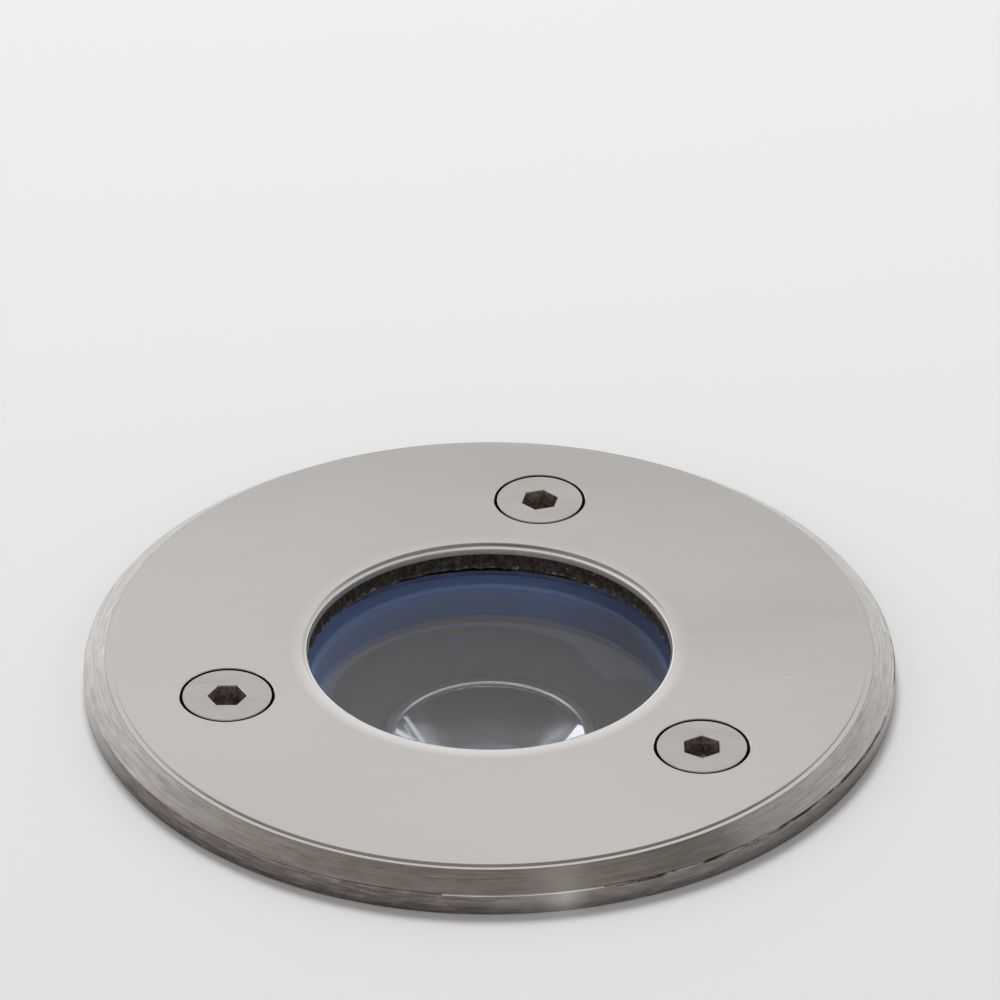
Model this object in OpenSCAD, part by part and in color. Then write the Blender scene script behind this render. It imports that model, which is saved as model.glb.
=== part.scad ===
// In ground well light with a steel trim ring, a twist-lock reflector lamp and a ground sleeve.
// Millimetres. The ground is at height zero, and +Z points up out of it.

/* [Trim ring] */
// How far the ring reaches out past the sleeve, over the ground
ground_cover = 7.5; // [5:0.5:25]
// Height of the ring's top above the ground
trim_h = 5.3; // [4.8:0.1:8]
// Height of the upright band round the rim
band_h = 3; // [2:0.1:3.8]
// Width of the bevel, seen from above
bevel_w = 2.95; // [2:0.05:6]
// Height of the fine turned step between the bevel and the top
rim_step_h = 0.25; // [0.1:0.05:0.5]
// Width of the narrow shoulder between the step and the bevel
rim_step_w = 0.85; // [0.3:0.05:1.5]
// How far the lip reaches in past the pot's wall
lip_in = 1.9; // [1:0.1:4]
// Thickness of the lip over the glass
lip_t = 1.5; // [1:0.1:1.8]
// Rounding of the ring's edges
edge_r = 0.4; // [0.2:0.05:0.6]
// Depth of the step under the ring that takes the sleeve's rim and the housing
step_t = 0.5; // [0.3:0.1:1]

/* [Cover screws] */
// Angle of the rear screw on the ring, counted from the right
rear_screw_angle = 79.2; // [60:0.1:100]
// Nominal diameter of the cover screws
screw_d = 6; // [4:0.5:6]
// Length of the cover screws, head included
screw_l = 20; // [16:1:25]
// Diameter of the screw heads
head_d = 12; // [11:0.1:12.8]
// Height of the straight edge of a screw head
head_land = 0.35; // [0.2:0.05:0.6]
// Width across the flats of the hex sockets
hex_af = 4; // [3:0.5:5]
// Depth of the hex sockets
hex_depth = 2.4; // [1.5:0.1:2.8]
// Section of the O-ring round each shank
screw_seal_t = 1.1; // [0.9:0.05:1.3]
// Metal between the glass pocket and the screw holes
screw_wall = 2.65; // [2:0.05:6]

/* [Glass and gaskets] */
// Thickness of the glass
glass_t = 6; // [4:0.5:10]
// Thickness of the gasket over the glass
gasket_t = 2.4; // [1.5:0.1:2.6]
// How far the gasket stands back from the edge of the light opening
gasket_back = 0.3; // [0.1:0.1:0.8]
// Width of the ledge that carries the glass
ledge_w = 3.5; // [3:0.1:6]
// Width of the gasket under the glass
lower_gasket_w = 2; // [1.5:0.1:2.4]
// Chamfer round the glass
glass_chamfer = 0.5; // [0.2:0.1:1]

/* [Lamp housing] */
// Wall of the pot
pot_wall = 3; // [2.5:0.1:5]
// Thickness of the flange under the ring
flange_t = 5; // [4:0.5:8]
// Rim of the flange outside the screw bosses
flange_edge = 0.8; // [0.5:0.1:4]
// Radius of the screw bosses
boss_r = 6; // [5.5:0.1:8]
// Wall round the glass pocket
collar_wall = 3.5; // [3:0.1:5]
// Thickness of the glass ledge
ledge_t = 3.8; // [3:0.1:6]
// Number of upright ribs round the pot
pot_ribs = 12; // [6:1:18]
// Thickness of the upright ribs
rib_t = 2; // [1.5:0.1:3]
// How far the upright ribs stand out
rib_out = 3; // [1.5:0.1:4]
// Thickness of the floor
floor_t = 3; // [2.5:0.1:6]
// Height of the wiring space under the strap
wiring_h = 21.9; // [19:0.1:40]

/* [Baffle] */
// Thickness of the baffle's metal
baffle_t = 1.2; // [0.8:0.1:1.6]
// Height of the steep wall at the top
baffle_wall_h = 3.1; // [2:0.1:6]
// How far the steep wall draws in
baffle_wall_in = 1.9; // [1:0.1:3]
// Height of the funnel under the steep wall
funnel_h = 5; // [3:0.1:10]

/* [Lamp] */
// Diameter of the reflector lamp
lamp_d = 50; // [45:1:60]
// Length from the lamp's front rim to the end of its base
lamp_l = 47; // [42:1:60]
// Height of the solid band at the lamp's front
lamp_band_h = 6; // [4:0.5:10]
// Number of cooling fins
lamp_fins = 24; // [12:1:30]
// Thickness of a cooling fin
fin_t = 1.2; // [0.8:0.1:1.6]
// Diameter of the lamp's base
base_d = 27; // [25:0.5:32]
// Height of the base
base_h = 13.6; // [10:0.1:18]
// Width of the base across its flat sides
base_w = 17; // [15:0.5:22]
// Outer diameter of the bright ring round the lens
lens_ring_d = 29.2; // [26:0.1:34]
// Depth of the lens
lens_h = 11.5; // [8:0.1:16]
// Distance between the lamp's two pins
pin_pitch = 10; // [9:0.5:12]
// Diameter of a pin's head
pin_head_d = 5; // [4.5:0.1:5.5]
// Diameter of a pin's neck
pin_neck_d = 3.2; // [2.5:0.1:3.6]
// Length of a pin's neck
pin_neck_l = 3; // [2.5:0.1:4]
// Length of a pin
pin_l = 7; // [6:0.1:9]
// Turn that unlocks the lamp, in degrees
twist = 25; // [15:1:35]

/* [Lamp holder] */
// Diameter of the ceramic holder
holder_d = 32; // [31:0.5:36]
// Height of the holder
holder_h = 14; // [12:0.5:20]
// Thickness of the strap
strap_t = 1.5; // [1:0.1:2.5]
// Width of the strap
strap_w = 16; // [14:0.5:17]
// Diameter of the screws that hold the strap
strap_screw_d = 4; // [3:0.5:4]
// Distance of the holder's screws from the middle
holder_screw_x = 11.5; // [11:0.1:12.5]
// Diameter of the holder's screws
small_screw_d = 3; // [2.5:0.5:3]
// Diameter of the block's screws
block_screw_d = 2.5; // [2:0.1:2.6]

/* [Terminal block and leads] */
// Distance between two ways of the block
way_pitch = 9.5; // [9:0.1:10]
// Length of the block along the wires
block_l = 15; // [12:0.5:16]
// Depth of the block's body
block_h = 8.9; // [8.5:0.1:11]
// Height of the turrets over the clamping screws
turret_h = 3.1; // [2:0.1:4]
// Outer diameter of the brass tubes
tube_d = 4.4; // [4:0.1:4.6]
// Bore of the brass tubes
tube_bore_d = 3; // [2.9:0.1:3.2]
// Diameter of the inner leads
lead_d = 2.4; // [2:0.1:2.8]
// Radius of the bends in the inner leads
lead_bend_r = 5; // [4:0.1:5.2]

/* [Cable gland] */
// Thread diameter of the gland
gland_d = 16; // [12:1:20]
// Width of the gland's hexagon across its flats
gland_af = 20; // [19:0.5:24]
// Height of the gland's hexagon
gland_hex_h = 5; // [4:0.5:7]
// Length of the thread that the dome nut turns on
stub_l = 8; // [7:0.5:12]
// Height of the dome nut
dome_h = 13.5; // [13:0.5:18]
// Diameter of the supply cable that the gland takes
cable_d = 8; // [6:0.5:8]
// Thickness of the lock nut
lock_nut_h = 4; // [3:0.5:5]
// Thickness of the gland's washer
washer_t = 1.5; // [1:0.1:2.5]

/* [Mounting sleeve] */
// Wall of the sleeve
sleeve_wall = 2.5; // [2:0.1:4]
// Height of the sleeve's plain outer wall under its rim
sleeve_plain_h = 60; // [40:1:70]
// Number of grip grooves below the plain wall
grip_grooves = 4; // [1:1:5]
// Width of a grip groove
groove_w = 5; // [3:0.5:6]
// Depth of a grip groove
groove_depth = 1; // [0.5:0.1:1.3]
// Height of the cable notches
notch_h = 16; // [12:1:20]
// Width of the cable notches
notch_w = 12; // [10:1:16]
// Width of the foot ring inside the sleeve
foot_w = 7; // [5:0.5:10]
// Thickness of the foot ring
foot_t = 3; // [2:0.5:5]
// Space under the gland
foot_gap = 7.5; // [6.5:0.5:20]

/* [Fits] */
// Radial gap of turning and threaded fits
run_gap = 0.05; // [0.02:0.01:0.1]
// Small gap between seated pieces
seat_gap = 0.1; // [0.05:0.05:0.2]
// Gap between pieces that pass each other
pass_gap = 0.3; // [0.3:0.1:0.5]
// Gap round the glass where the housing takes it
glass_gap = 0.5; // [0.4:0.1:1]
// Gap between the housing's flange and the sleeve
sleeve_gap = 1; // [0.5:0.1:3]
// Gap between the lamp and the pot
lamp_gap = 1.5; // [1:0.1:4]

/* [Hidden] */
$fn = 96;

// Overrun of cuts
over = 1;
// Points on a rounded edge
edge_steps = 4;
// Sides of a hexagon
hex = 6;

// Radii, from the lamp outwards
bore_r = lamp_d / 2 + lamp_gap;
pot_r = bore_r + pot_wall;
glass_r = bore_r + ledge_w;
ring_pocket_r = glass_r + pass_gap;
pocket_r = glass_r + glass_gap;
collar_r = pocket_r + collar_wall;
shank_r = screw_d / 2;
tapped_r = shank_r + run_gap;
seal_hole_r = tapped_r + screw_seal_t + seat_gap;
screw_circle_r = ring_pocket_r + screw_wall + seal_hole_r;
flange_r = screw_circle_r + boss_r + flange_edge;
sleeve_in_r = flange_r + sleeve_gap;
sleeve_r = sleeve_in_r + sleeve_wall;
trim_r = sleeve_r + ground_cover;
opening_r = bore_r - lip_in;
step_gap = 0.5;
step_r = sleeve_r + step_gap;

// Heights, from the ring down
lip_z = trim_h - lip_t;
glass_top_z = lip_z - gasket_t;
glass_z = glass_top_z - glass_t;
baffle_top_z = glass_z - seat_gap - pass_gap;
ledge_z = baffle_top_z - baffle_t;
flange_z = step_t - flange_t;
collar_z = ledge_z - ledge_t;
cone_z = collar_z - (collar_r - pot_r);
funnel_top_z = baffle_top_z - baffle_wall_h;
funnel_z = funnel_top_z - funnel_h;
lamp_z = funnel_z - baffle_t - pass_gap;
base_top_z = lamp_z - lamp_l + base_h;
base_z = lamp_z - lamp_l;
strap_top_z = base_z - holder_h;
strap_z = strap_top_z - strap_t;
floor_z = strap_z - wiring_h;
pot_z = floor_z - floor_t;
gland_hex_z = pot_z - washer_t;
stub_top_z = gland_hex_z - gland_hex_h;
dome_top_z = stub_top_z - pass_gap;
dome_z = dome_top_z - dome_h;
sleeve_z = dome_z - foot_gap;

// Cover screws
head_r = head_d / 2;
head_below = 0.05;
head_top_z = trim_h - head_below;
sink_r = head_r + head_land + head_below + run_gap;
screw_tip_z = head_top_z - screw_l;
thread_spare = 2.2;
boss_end_t = 2;
boss_z = screw_tip_z - thread_spare - boss_end_t;
tip_chamfer = 0.8;
left_screw_angle = rear_screw_angle + 120;
right_screw_angle = rear_screw_angle + 240;
screw_angles = [left_screw_angle, right_screw_angle, rear_screw_angle];
left_hex_turn = 0;
right_hex_turn = 30;
rear_hex_turn = 17;

// Housing
boss_web_t = 5;
gusset_t = 3;
gusset_edge = 1.5;
rib_end_gap = 4;
post_r = 4.5;
strap_screw_r = strap_screw_d / 2;
pan_h_share = 0.6;
pan_r_share = 1.8;
post_x = bore_r - strap_screw_r * pan_r_share - pass_gap;
post_hole_depth = 9;
earth_boss_r = 4;
earth_boss_h = 5;
earth_boss_gap = 2;
earth_boss_y = bore_r - earth_boss_r - earth_boss_gap;
gland_seat_r = 14;
gland_seat_h = 0.8;
pot_chamfer = 2;

// Baffle
baffle_side_gap = 0.9;
baffle_rim_r = glass_r - lower_gasket_w - 2 * seat_gap;
baffle_top_r = bore_r - baffle_side_gap - baffle_t;
funnel_top_r = baffle_top_r - baffle_wall_in;
lens_ring_r = lens_ring_d / 2;
funnel_r = lens_ring_r + pass_gap;

// Lamp
lens_ring_t = 1;
lens_below = 0.4;
lens_r = lens_ring_r - lens_ring_t;
lens_end_r = 6;
lens_ring_z = lamp_z - lens_ring_t;
cup_r = lens_r - seat_gap;
lens_z = funnel_z - lens_below - lens_h;
led_t = 0.5;
led_r = 4.5;
board_t = 1;
board_r = 6.8;
led_z = lens_z - seat_gap - led_t;
board_z = led_z - board_t;
core_top_r = 17;
core_r = base_d / 2 - seat_gap;
fin_back = 0.4;
fin_top_r = lamp_d / 2 - fin_back;
fin_end_out = 2.4;
fin_end_r = base_d / 2 + fin_end_out;
lamp_chamfer = 1;
base_collar_h = 4;
base_collar_out = 1;
base_collar_r = base_d / 2 + base_collar_out;
pin_r = pin_pitch / 2;
pin_neck_r = pin_neck_d / 2;
pin_head_r = pin_head_d / 2;
pin_z = base_z - pin_l;
pin_angles = [90, 270];

// Lamp holder
slot_gap = 0.2;
slot_end_gap = 0.1;
contact_t = 0.4;
contact_w = 3;
slot_plate_z = base_z - pin_neck_l + 2 * slot_gap;
slot_floor_z = pin_z - slot_gap - contact_t;
holder_chamfer = 0.4;
small_screw_r = small_screw_d / 2;
holder_screw_l = 8;
small_head_r = 2.8;
strap_screw_l = 8;
strap_end_gap = 0.5;

// Terminal block and leads
ways = [-1, 0, 1];
way_w = 6.4;
web_w = 3;
web_h = 4.5;
tube_r = tube_d / 2;
tube_bore_r = tube_bore_d / 2;
tube_end_back = 1;
tube_l = block_l - 2 * tube_end_back;
tube_drop = 4.9;
tube_z = strap_z - tube_drop;
clamp_y = 3.8;
clamp_r = 1.2;
turret_r = 2.6;
lead_r = lead_d / 2;
lead_in = 1;
lead_y = lead_bend_r + tube_l / 2 - lead_in;
block_z = strap_z - block_h;
turret_z = block_z - turret_h;
block_screw_x = way_pitch / 2;
block_screw_r = block_screw_d / 2;
block_head_r = block_screw_r * pan_r_share;
tab_t = 0.8;
tab_r = 3.8;
tab_w = 3.6;
barrel_r = 1.9;
barrel_h = 4.7;
tab_z = floor_z + earth_boss_h;
earth_head_gap = 0.5;
earth_lead_y = earth_boss_y - strap_screw_r * pan_r_share - barrel_r - earth_head_gap;
earth_screw_l = 5;

// Cable gland
gland_r = gland_d / 2;
gland_bore_r = 6;
gland_thread_end = 1;
gland_top_z = floor_z + lock_nut_h + gland_thread_end;
stub_back = 0.5;
stub_r = gland_r - stub_back;
lock_nut_af = 22;
cable_r = cable_d / 2;
seal_r = gland_bore_r - seat_gap;
seal_below = 2.5;
seal_top_z = dome_top_z - seat_gap;
stub_z = stub_top_z - stub_l;
seal_z = stub_z - seal_below;
mouth_gap = 0.7;
dome_wall = 1.4;
washer_w = 2.6;

// Mounting sleeve
sleeve_rib_t = 2;
sleeve_rib_in = 3;
sleeve_ribs = 4;
rib_top_gap = 4;
sleeve_chamfer = 1;
drain_r = 2;
foot_r = sleeve_in_r - foot_w;
groove_step = (-sleeve_z - sleeve_plain_h - notch_h) / grip_grooves;

// Points on a quarter turn or less, from one angle to another
function round_edge(centre, radius, from, to) = [
    for (i = [0:edge_steps])
        let (a = from + (to - from) * i / edge_steps)
        [centre[0] + radius * cos(a), centre[1] + radius * sin(a)]
];

module ring(outer_r, inner_r, low_z, high_z) {
    rotate_extrude()
        translate([inner_r, low_z])
            square([outer_r - inner_r, high_z - low_z]);
}

module rod(radius, low_z, high_z) {
    translate([0, 0, low_z])
        cylinder(r = radius, h = high_z - low_z);
}

// The ring's section: a bevelled rim, a fine step, a flat top and a lip over the glass
module trim_section() {
    bevel_angle = atan((trim_h - rim_step_h - band_h) / bevel_w);
    shoulder_r = trim_r - bevel_w;
    top_r = shoulder_r - rim_step_w;
    step_edge_r = rim_step_h / 2;
    polygon(concat(
        [[step_r, 0]],
        round_edge([trim_r - edge_r, edge_r], edge_r, -90, 0),
        [[trim_r, band_h - edge_r / 2]],
        [[trim_r - edge_r / 2 * cos(bevel_angle), band_h + edge_r / 2 * sin(bevel_angle)]],
        [[shoulder_r, trim_h - rim_step_h], [top_r, trim_h - rim_step_h]],
        round_edge([top_r - step_edge_r, trim_h - step_edge_r], step_edge_r, 0, 90),
        round_edge([opening_r + edge_r, trim_h - edge_r], edge_r, 90, 180),
        [
            [opening_r, lip_z], [ring_pocket_r, lip_z],
            [ring_pocket_r, step_t], [step_r, step_t]
        ]
    ));
}

module screw_places(angles) {
    for (a = angles)
        rotate(a)
            translate([screw_circle_r, 0, 0])
                children();
}

module countersink() {
    rod(seal_hole_r, -over, trim_h);
    translate([0, 0, trim_h - sink_r + seal_hole_r])
        cylinder(r1 = seal_hole_r, r2 = sink_r + over, h = sink_r - seal_hole_r + over);
}

module trim_ring() {
    color("silver")
        difference() {
            rotate_extrude()
                trim_section();
            screw_places(screw_angles)
                countersink();
        }
}

module hex_bore(across, low_z, high_z) {
    translate([0, 0, low_z])
        cylinder(r = across / 2 / cos(180 / hex), h = high_z - low_z, $fn = hex);
}

module cover_screw(hex_turn) {
    under_head_z = head_top_z - head_land - (head_r - shank_r);
    color("gainsboro")
        difference() {
            rotate_extrude()
                polygon([
                    [0, screw_tip_z], [shank_r - tip_chamfer, screw_tip_z],
                    [shank_r, screw_tip_z + tip_chamfer], [shank_r, under_head_z],
                    [head_r, head_top_z - head_land], [head_r, head_top_z], [0, head_top_z]
                ]);
            rotate(hex_turn)
                hex_bore(hex_af, head_top_z - hex_depth, head_top_z + over);
        }
}

module left_screw() {
    screw_places([left_screw_angle])
        cover_screw(left_hex_turn - left_screw_angle);
}

module right_screw() {
    screw_places([right_screw_angle])
        cover_screw(right_hex_turn - right_screw_angle);
}

module rear_screw() {
    screw_places([rear_screw_angle])
        cover_screw(rear_hex_turn - rear_screw_angle);
}

module screw_seal(angle) {
    color("#1a1a1a")
        screw_places([angle])
            rotate_extrude()
                translate([tapped_r + screw_seal_t / 2, step_t + seat_gap + screw_seal_t / 2])
                    circle(r = screw_seal_t / 2);
}

module left_screw_seal() {
    screw_seal(left_screw_angle);
}

module right_screw_seal() {
    screw_seal(right_screw_angle);
}

module rear_screw_seal() {
    screw_seal(rear_screw_angle);
}

module upper_gasket() {
    color("#161616")
        ring(glass_r, opening_r + gasket_back, glass_top_z, lip_z);
}

module glass_lens() {
    color("lightblue", 0.4)
        rotate_extrude()
            polygon([
                [0, glass_z], [glass_r - glass_chamfer, glass_z],
                [glass_r, glass_z + glass_chamfer], [glass_r, glass_top_z - glass_chamfer],
                [glass_r - glass_chamfer, glass_top_z], [0, glass_top_z]
            ]);
}

module lower_gasket() {
    color("#161616")
        ring(glass_r, glass_r - lower_gasket_w, ledge_z, glass_z);
}

module baffle() {
    color("slategray")
        rotate_extrude()
            polygon([
                [baffle_rim_r, baffle_top_z], [baffle_top_r, baffle_top_z],
                [funnel_top_r, funnel_top_z], [funnel_r, funnel_z],
                [funnel_r, funnel_z - baffle_t],
                [funnel_top_r + baffle_t / 2, funnel_top_z - baffle_t],
                [baffle_top_r + baffle_t, ledge_z], [baffle_rim_r, ledge_z]
            ]);
}

// The pot's outside, with its flange, collar and gland seat
module pot_outside() {
    rotate_extrude()
        polygon([
            [0, pot_z], [gland_seat_r, pot_z], [gland_seat_r, pot_z + gland_seat_h],
            [pot_r - pot_chamfer, pot_z + gland_seat_h],
            [pot_r, pot_z + gland_seat_h + pot_chamfer], [pot_r, cone_z], [collar_r, collar_z],
            [collar_r, flange_z], [flange_r, flange_z], [flange_r, step_t], [0, step_t]
        ]);
}

// The space that the glass, the lamp and the wiring take
module pot_inside() {
    rotate_extrude()
        polygon([
            [0, floor_z], [bore_r, floor_z], [bore_r, ledge_z], [pocket_r, ledge_z],
            [pocket_r, step_t + over], [0, step_t + over]
        ]);
}

module pot_rib() {
    rib_top_z = cone_z - rib_end_gap;
    rib_z = pot_z + gland_seat_h + pot_chamfer;
    rib_r = pot_r + rib_out;
    rotate([90, 0, 0])
        linear_extrude(height = rib_t, center = true)
            polygon([
                [pot_r - pot_wall / 2, rib_z], [pot_r, rib_z], [rib_r, rib_z + rib_out],
                [rib_r, rib_top_z - rib_out], [pot_r, rib_top_z],
                [pot_r - pot_wall / 2, rib_top_z]
            ]);
}

module flange_gusset() {
    rotate([90, 0, 0])
        linear_extrude(height = gusset_t, center = true)
            polygon([
                [pot_r - pot_wall / 2, boss_z], [pot_r + gusset_edge, boss_z],
                [flange_r - gusset_edge, flange_z - gusset_edge],
                [flange_r - gusset_edge, step_t - flange_t / 2],
                [collar_r - collar_wall / 2, step_t - flange_t / 2],
                [pot_r - pot_wall / 2, collar_z]
            ]);
}

module screw_boss() {
    rod(boss_r, boss_z, step_t - flange_t / 2);
    translate([-(screw_circle_r - pot_r + pot_wall / 2), -boss_web_t / 2, boss_z])
        cube([screw_circle_r - pot_r + pot_wall / 2, boss_web_t, flange_z - boss_z]);
}

module pot_shell() {
    difference() {
        union() {
            pot_outside();
            screw_places(screw_angles)
                screw_boss();
            for (a = screw_angles)
                rotate(a + 180 / len(screw_angles))
                    flange_gusset();
            for (i = [0:pot_ribs - 1])
                rotate((i + 0.5) * 360 / pot_ribs)
                    pot_rib();
        }
        pot_inside();
    }
}

module housing() {
    color("dimgray")
        difference() {
            union() {
                pot_shell();
                for (side = [-1, 1])
                    translate([side * post_x, 0, 0])
                        rod(post_r, floor_z - floor_t / 2, strap_z);
                translate([0, earth_boss_y, 0])
                    rod(earth_boss_r, floor_z - floor_t / 2, tab_z);
            }
            rod(gland_r + run_gap, pot_z - over, floor_z + over);
            screw_places(screw_angles)
                rod(tapped_r, boss_z + boss_end_t, step_t + over);
            for (side = [-1, 1])
                translate([side * post_x, 0, 0])
                    rod(strap_screw_r + run_gap, strap_z - post_hole_depth, strap_z + over);
            translate([0, earth_boss_y, 0])
                rod(strap_screw_r + run_gap, tab_z - earth_screw_l, tab_z + over);
        }
}

module lens_ring() {
    color("gainsboro")
        ring(lens_ring_r, lens_r, lens_ring_z, funnel_z);
}

module lamp_lens() {
    color("white", 0.5)
        rotate_extrude()
            polygon([
                [0, lens_z], [lens_end_r, lens_z], [cup_r - seat_gap, lens_ring_z],
                [lens_r - run_gap, lens_ring_z], [lens_r - run_gap, funnel_z - lens_below],
                [0, funnel_z - lens_below]
            ]);
}

module led_board() {
    color("lightyellow") {
        rod(board_r, board_z, led_z);
        rod(led_r, led_z, led_z + led_t);
    }
}

module lamp_heat_sink() {
    lamp_r = lamp_d / 2;
    band_z = lamp_z - lamp_band_h;
    color("lightgray")
        union() {
            rotate_extrude()
                polygon([
                    [0, base_top_z], [core_r, base_top_z], [core_top_r, band_z],
                    [lamp_r - lamp_chamfer, band_z], [lamp_r, band_z + lamp_chamfer],
                    [lamp_r, lamp_z - lamp_chamfer], [lamp_r - lamp_chamfer, lamp_z],
                    [lens_ring_r + run_gap, lamp_z], [lens_ring_r + run_gap, lens_ring_z],
                    [cup_r, lens_ring_z], [board_r + seat_gap, lens_z],
                    [board_r + seat_gap, board_z], [0, board_z]
                ]);
            for (i = [0:lamp_fins - 1])
                rotate(i * 360 / lamp_fins)
                    rotate([90, 0, 0])
                        linear_extrude(height = fin_t, center = true)
                            polygon([
                                [core_r - fin_t, base_top_z], [fin_end_r, base_top_z],
                                [fin_top_r, band_z + lamp_chamfer],
                                [core_top_r - fin_t, band_z + lamp_chamfer]
                            ]);
        }
}

module lamp_base() {
    base_r = base_d / 2;
    color("whitesmoke")
        union() {
            rod(base_collar_r, base_top_z - base_collar_h, base_top_z);
            intersection() {
                rod(base_r, base_z, base_top_z);
                translate([-base_w / 2, -base_r, base_z - over])
                    cube([base_w, base_d, base_h + over]);
            }
        }
}

module lamp_pins() {
    color("silver")
        for (a = pin_angles)
            rotate(a)
                translate([pin_r, 0, 0]) {
                    rod(pin_neck_r, base_z - pin_neck_l, base_z);
                    rod(pin_head_r, pin_z, base_z - pin_neck_l);
                }
}

// A slot that follows the pin's path, with a round where the locked pin stands
module pin_slot(half_w, low_z, high_z) {
    rotate_extrude(angle = twist)
        translate([pin_r - half_w, low_z])
            square([half_w * 2, high_z - low_z]);
    translate([pin_r, 0, 0])
        rod(half_w + slot_end_gap, low_z, high_z);
}

module lamp_holder() {
    holder_r = holder_d / 2;
    color("ivory")
        difference() {
            rotate_extrude()
                polygon([
                    [0, strap_top_z], [holder_r - holder_chamfer, strap_top_z],
                    [holder_r, strap_top_z + holder_chamfer], [holder_r, base_z - holder_chamfer],
                    [holder_r - holder_chamfer, base_z], [0, base_z]
                ]);
            for (a = pin_angles)
                rotate(a) {
                    pin_slot(pin_neck_r + slot_gap, slot_plate_z - over, base_z + over);
                    pin_slot(pin_head_r + slot_gap, slot_floor_z, slot_plate_z);
                    rotate(twist)
                        translate([pin_r, 0, 0])
                            rod(pin_head_r + slot_gap + slot_end_gap, slot_floor_z, base_z + over);
                }
            for (side = [-1, 1]) {
                translate([side * holder_screw_x, 0, 0])
                    rod(small_screw_r + run_gap, strap_top_z - over, strap_top_z + holder_screw_l);
                translate([side * way_pitch, -lead_y, 0])
                    rod(lead_r + seat_gap, strap_top_z - over, strap_top_z + lead_in);
            }
        }
}

module holder_contacts() {
    color("goldenrod")
        for (a = pin_angles)
            rotate(a)
                rotate_extrude(angle = twist)
                    translate([pin_r - contact_w / 2, slot_floor_z])
                        square([contact_w, contact_t]);
}

module holder_bracket() {
    color("silver")
        difference() {
            intersection() {
                rod(bore_r - strap_end_gap, strap_z, strap_top_z);
                translate([-bore_r, -strap_w / 2, strap_z - over])
                    cube([bore_r + bore_r, strap_w, strap_t + over + over]);
            }
            for (side = [-1, 1]) {
                translate([side * post_x, 0, 0])
                    rod(strap_screw_r + seat_gap, strap_z - over, strap_top_z + over);
                translate([side * holder_screw_x, 0, 0]) {
                    rod(small_screw_r + seat_gap, strap_z - over, strap_top_z + over);
                    translate([0, 0, strap_z - over])
                        cylinder(
                            r1 = small_head_r + seat_gap + over,
                            r2 = small_screw_r + seat_gap,
                            h = small_head_r - small_screw_r + over
                        );
                }
                translate([side * block_screw_x, 0, 0])
                    rod(block_screw_r + run_gap, strap_z - over, strap_top_z + over);
            }
        }
}

module holder_screws() {
    color("silver")
        for (side = [-1, 1])
            translate([side * holder_screw_x, 0, 0])
                rotate_extrude()
                    polygon([
                        [0, strap_z], [small_head_r, strap_z],
                        [small_screw_r, strap_z + small_head_r - small_screw_r],
                        [small_screw_r, strap_top_z + holder_screw_l - strap_t],
                        [0, strap_top_z + holder_screw_l - strap_t]
                    ]);
}

// A pan head screw, upright, with its head's seat at height zero
module pan_screw(diameter, length) {
    head_h = diameter * pan_h_share;
    pan_r = diameter * pan_r_share / 2;
    rotate_extrude()
        polygon([
            [0, -length], [diameter / 2, -length], [diameter / 2, 0], [pan_r, 0],
            [pan_r, head_h / 2], [pan_r * pan_h_share, head_h], [0, head_h]
        ]);
}

module bracket_screws() {
    color("silver")
        for (side = [-1, 1])
            translate([side * post_x, 0, strap_top_z])
                pan_screw(strap_screw_d, strap_screw_l);
}

module terminal_block() {
    color("white")
        difference() {
            union() {
                for (way = ways) {
                    translate([way * way_pitch - way_w / 2, -block_l / 2, block_z])
                        cube([way_w, block_l, block_h]);
                    for (side = [-1, 1])
                        translate([way * way_pitch, side * clamp_y, 0])
                            rod(turret_r, turret_z, block_z + block_h / 2);
                }
                translate([-way_pitch, -block_l / 2 + web_w / 2, strap_z - web_h])
                    cube([way_pitch + way_pitch, block_l - web_w, web_h]);
            }
            for (way = ways) {
                translate([way * way_pitch, 0, tube_z])
                    rotate([90, 0, 0])
                        cylinder(r = tube_r + run_gap, h = block_l + over, center = true);
                for (side = [-1, 1])
                    translate([way * way_pitch, side * clamp_y, 0])
                        rod(clamp_r + seat_gap, turret_z - over, tube_z);
            }
            for (side = [-1, 1])
                translate([side * block_screw_x, 0, 0]) {
                    rod(block_screw_r + seat_gap, turret_z, strap_z + over);
                    rod(block_head_r + seat_gap, turret_z, strap_z - web_h);
                }
        }
}

module terminal_tubes() {
    color("goldenrod")
        for (way = ways)
            translate([way * way_pitch, 0, tube_z])
                difference() {
                    rotate([90, 0, 0])
                        cylinder(r = tube_r, h = tube_l, center = true);
                    rotate([90, 0, 0])
                        cylinder(r = tube_bore_r, h = tube_l + over, center = true);
                    for (side = [-1, 1])
                        translate([0, side * clamp_y, 0])
                            rod(clamp_r + run_gap, -tube_d, 0);
                }
}

module terminal_screws() {
    color("silver")
        for (way = ways)
            for (side = [-1, 1])
                translate([way * way_pitch, side * clamp_y, 0])
                    rod(clamp_r, turret_z + seat_gap, tube_z - lead_r - seat_gap);
}

module block_screws() {
    color("silver")
        for (side = [-1, 1])
            translate([side * block_screw_x, 0, strap_z - web_h])
                rotate([180, 0, 0])
                    pan_screw(block_screw_d, web_h + strap_t - seat_gap);
}

// A quarter turn of lead in the plane of Y and Z
module lead_bend(turn) {
    rotate([0, turn, 0])
        rotate_extrude(angle = 90)
            translate([lead_bend_r, 0])
                circle(r = lead_r);
}

module holder_lead(side) {
    translate([side * way_pitch, 0, 0]) {
        translate([0, -lead_y, 0])
            rod(lead_r, tube_z + lead_bend_r, strap_top_z + lead_in);
        translate([0, lead_bend_r - lead_y, tube_z + lead_bend_r])
            rotate([0, 0, 180])
                lead_bend(90);
        translate([0, lead_bend_r - lead_y, tube_z])
            rotate([-90, 0, 0])
                cylinder(r = lead_r, h = lead_in);
    }
}

module live_lead() {
    color("saddlebrown")
        holder_lead(-1);
}

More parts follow.
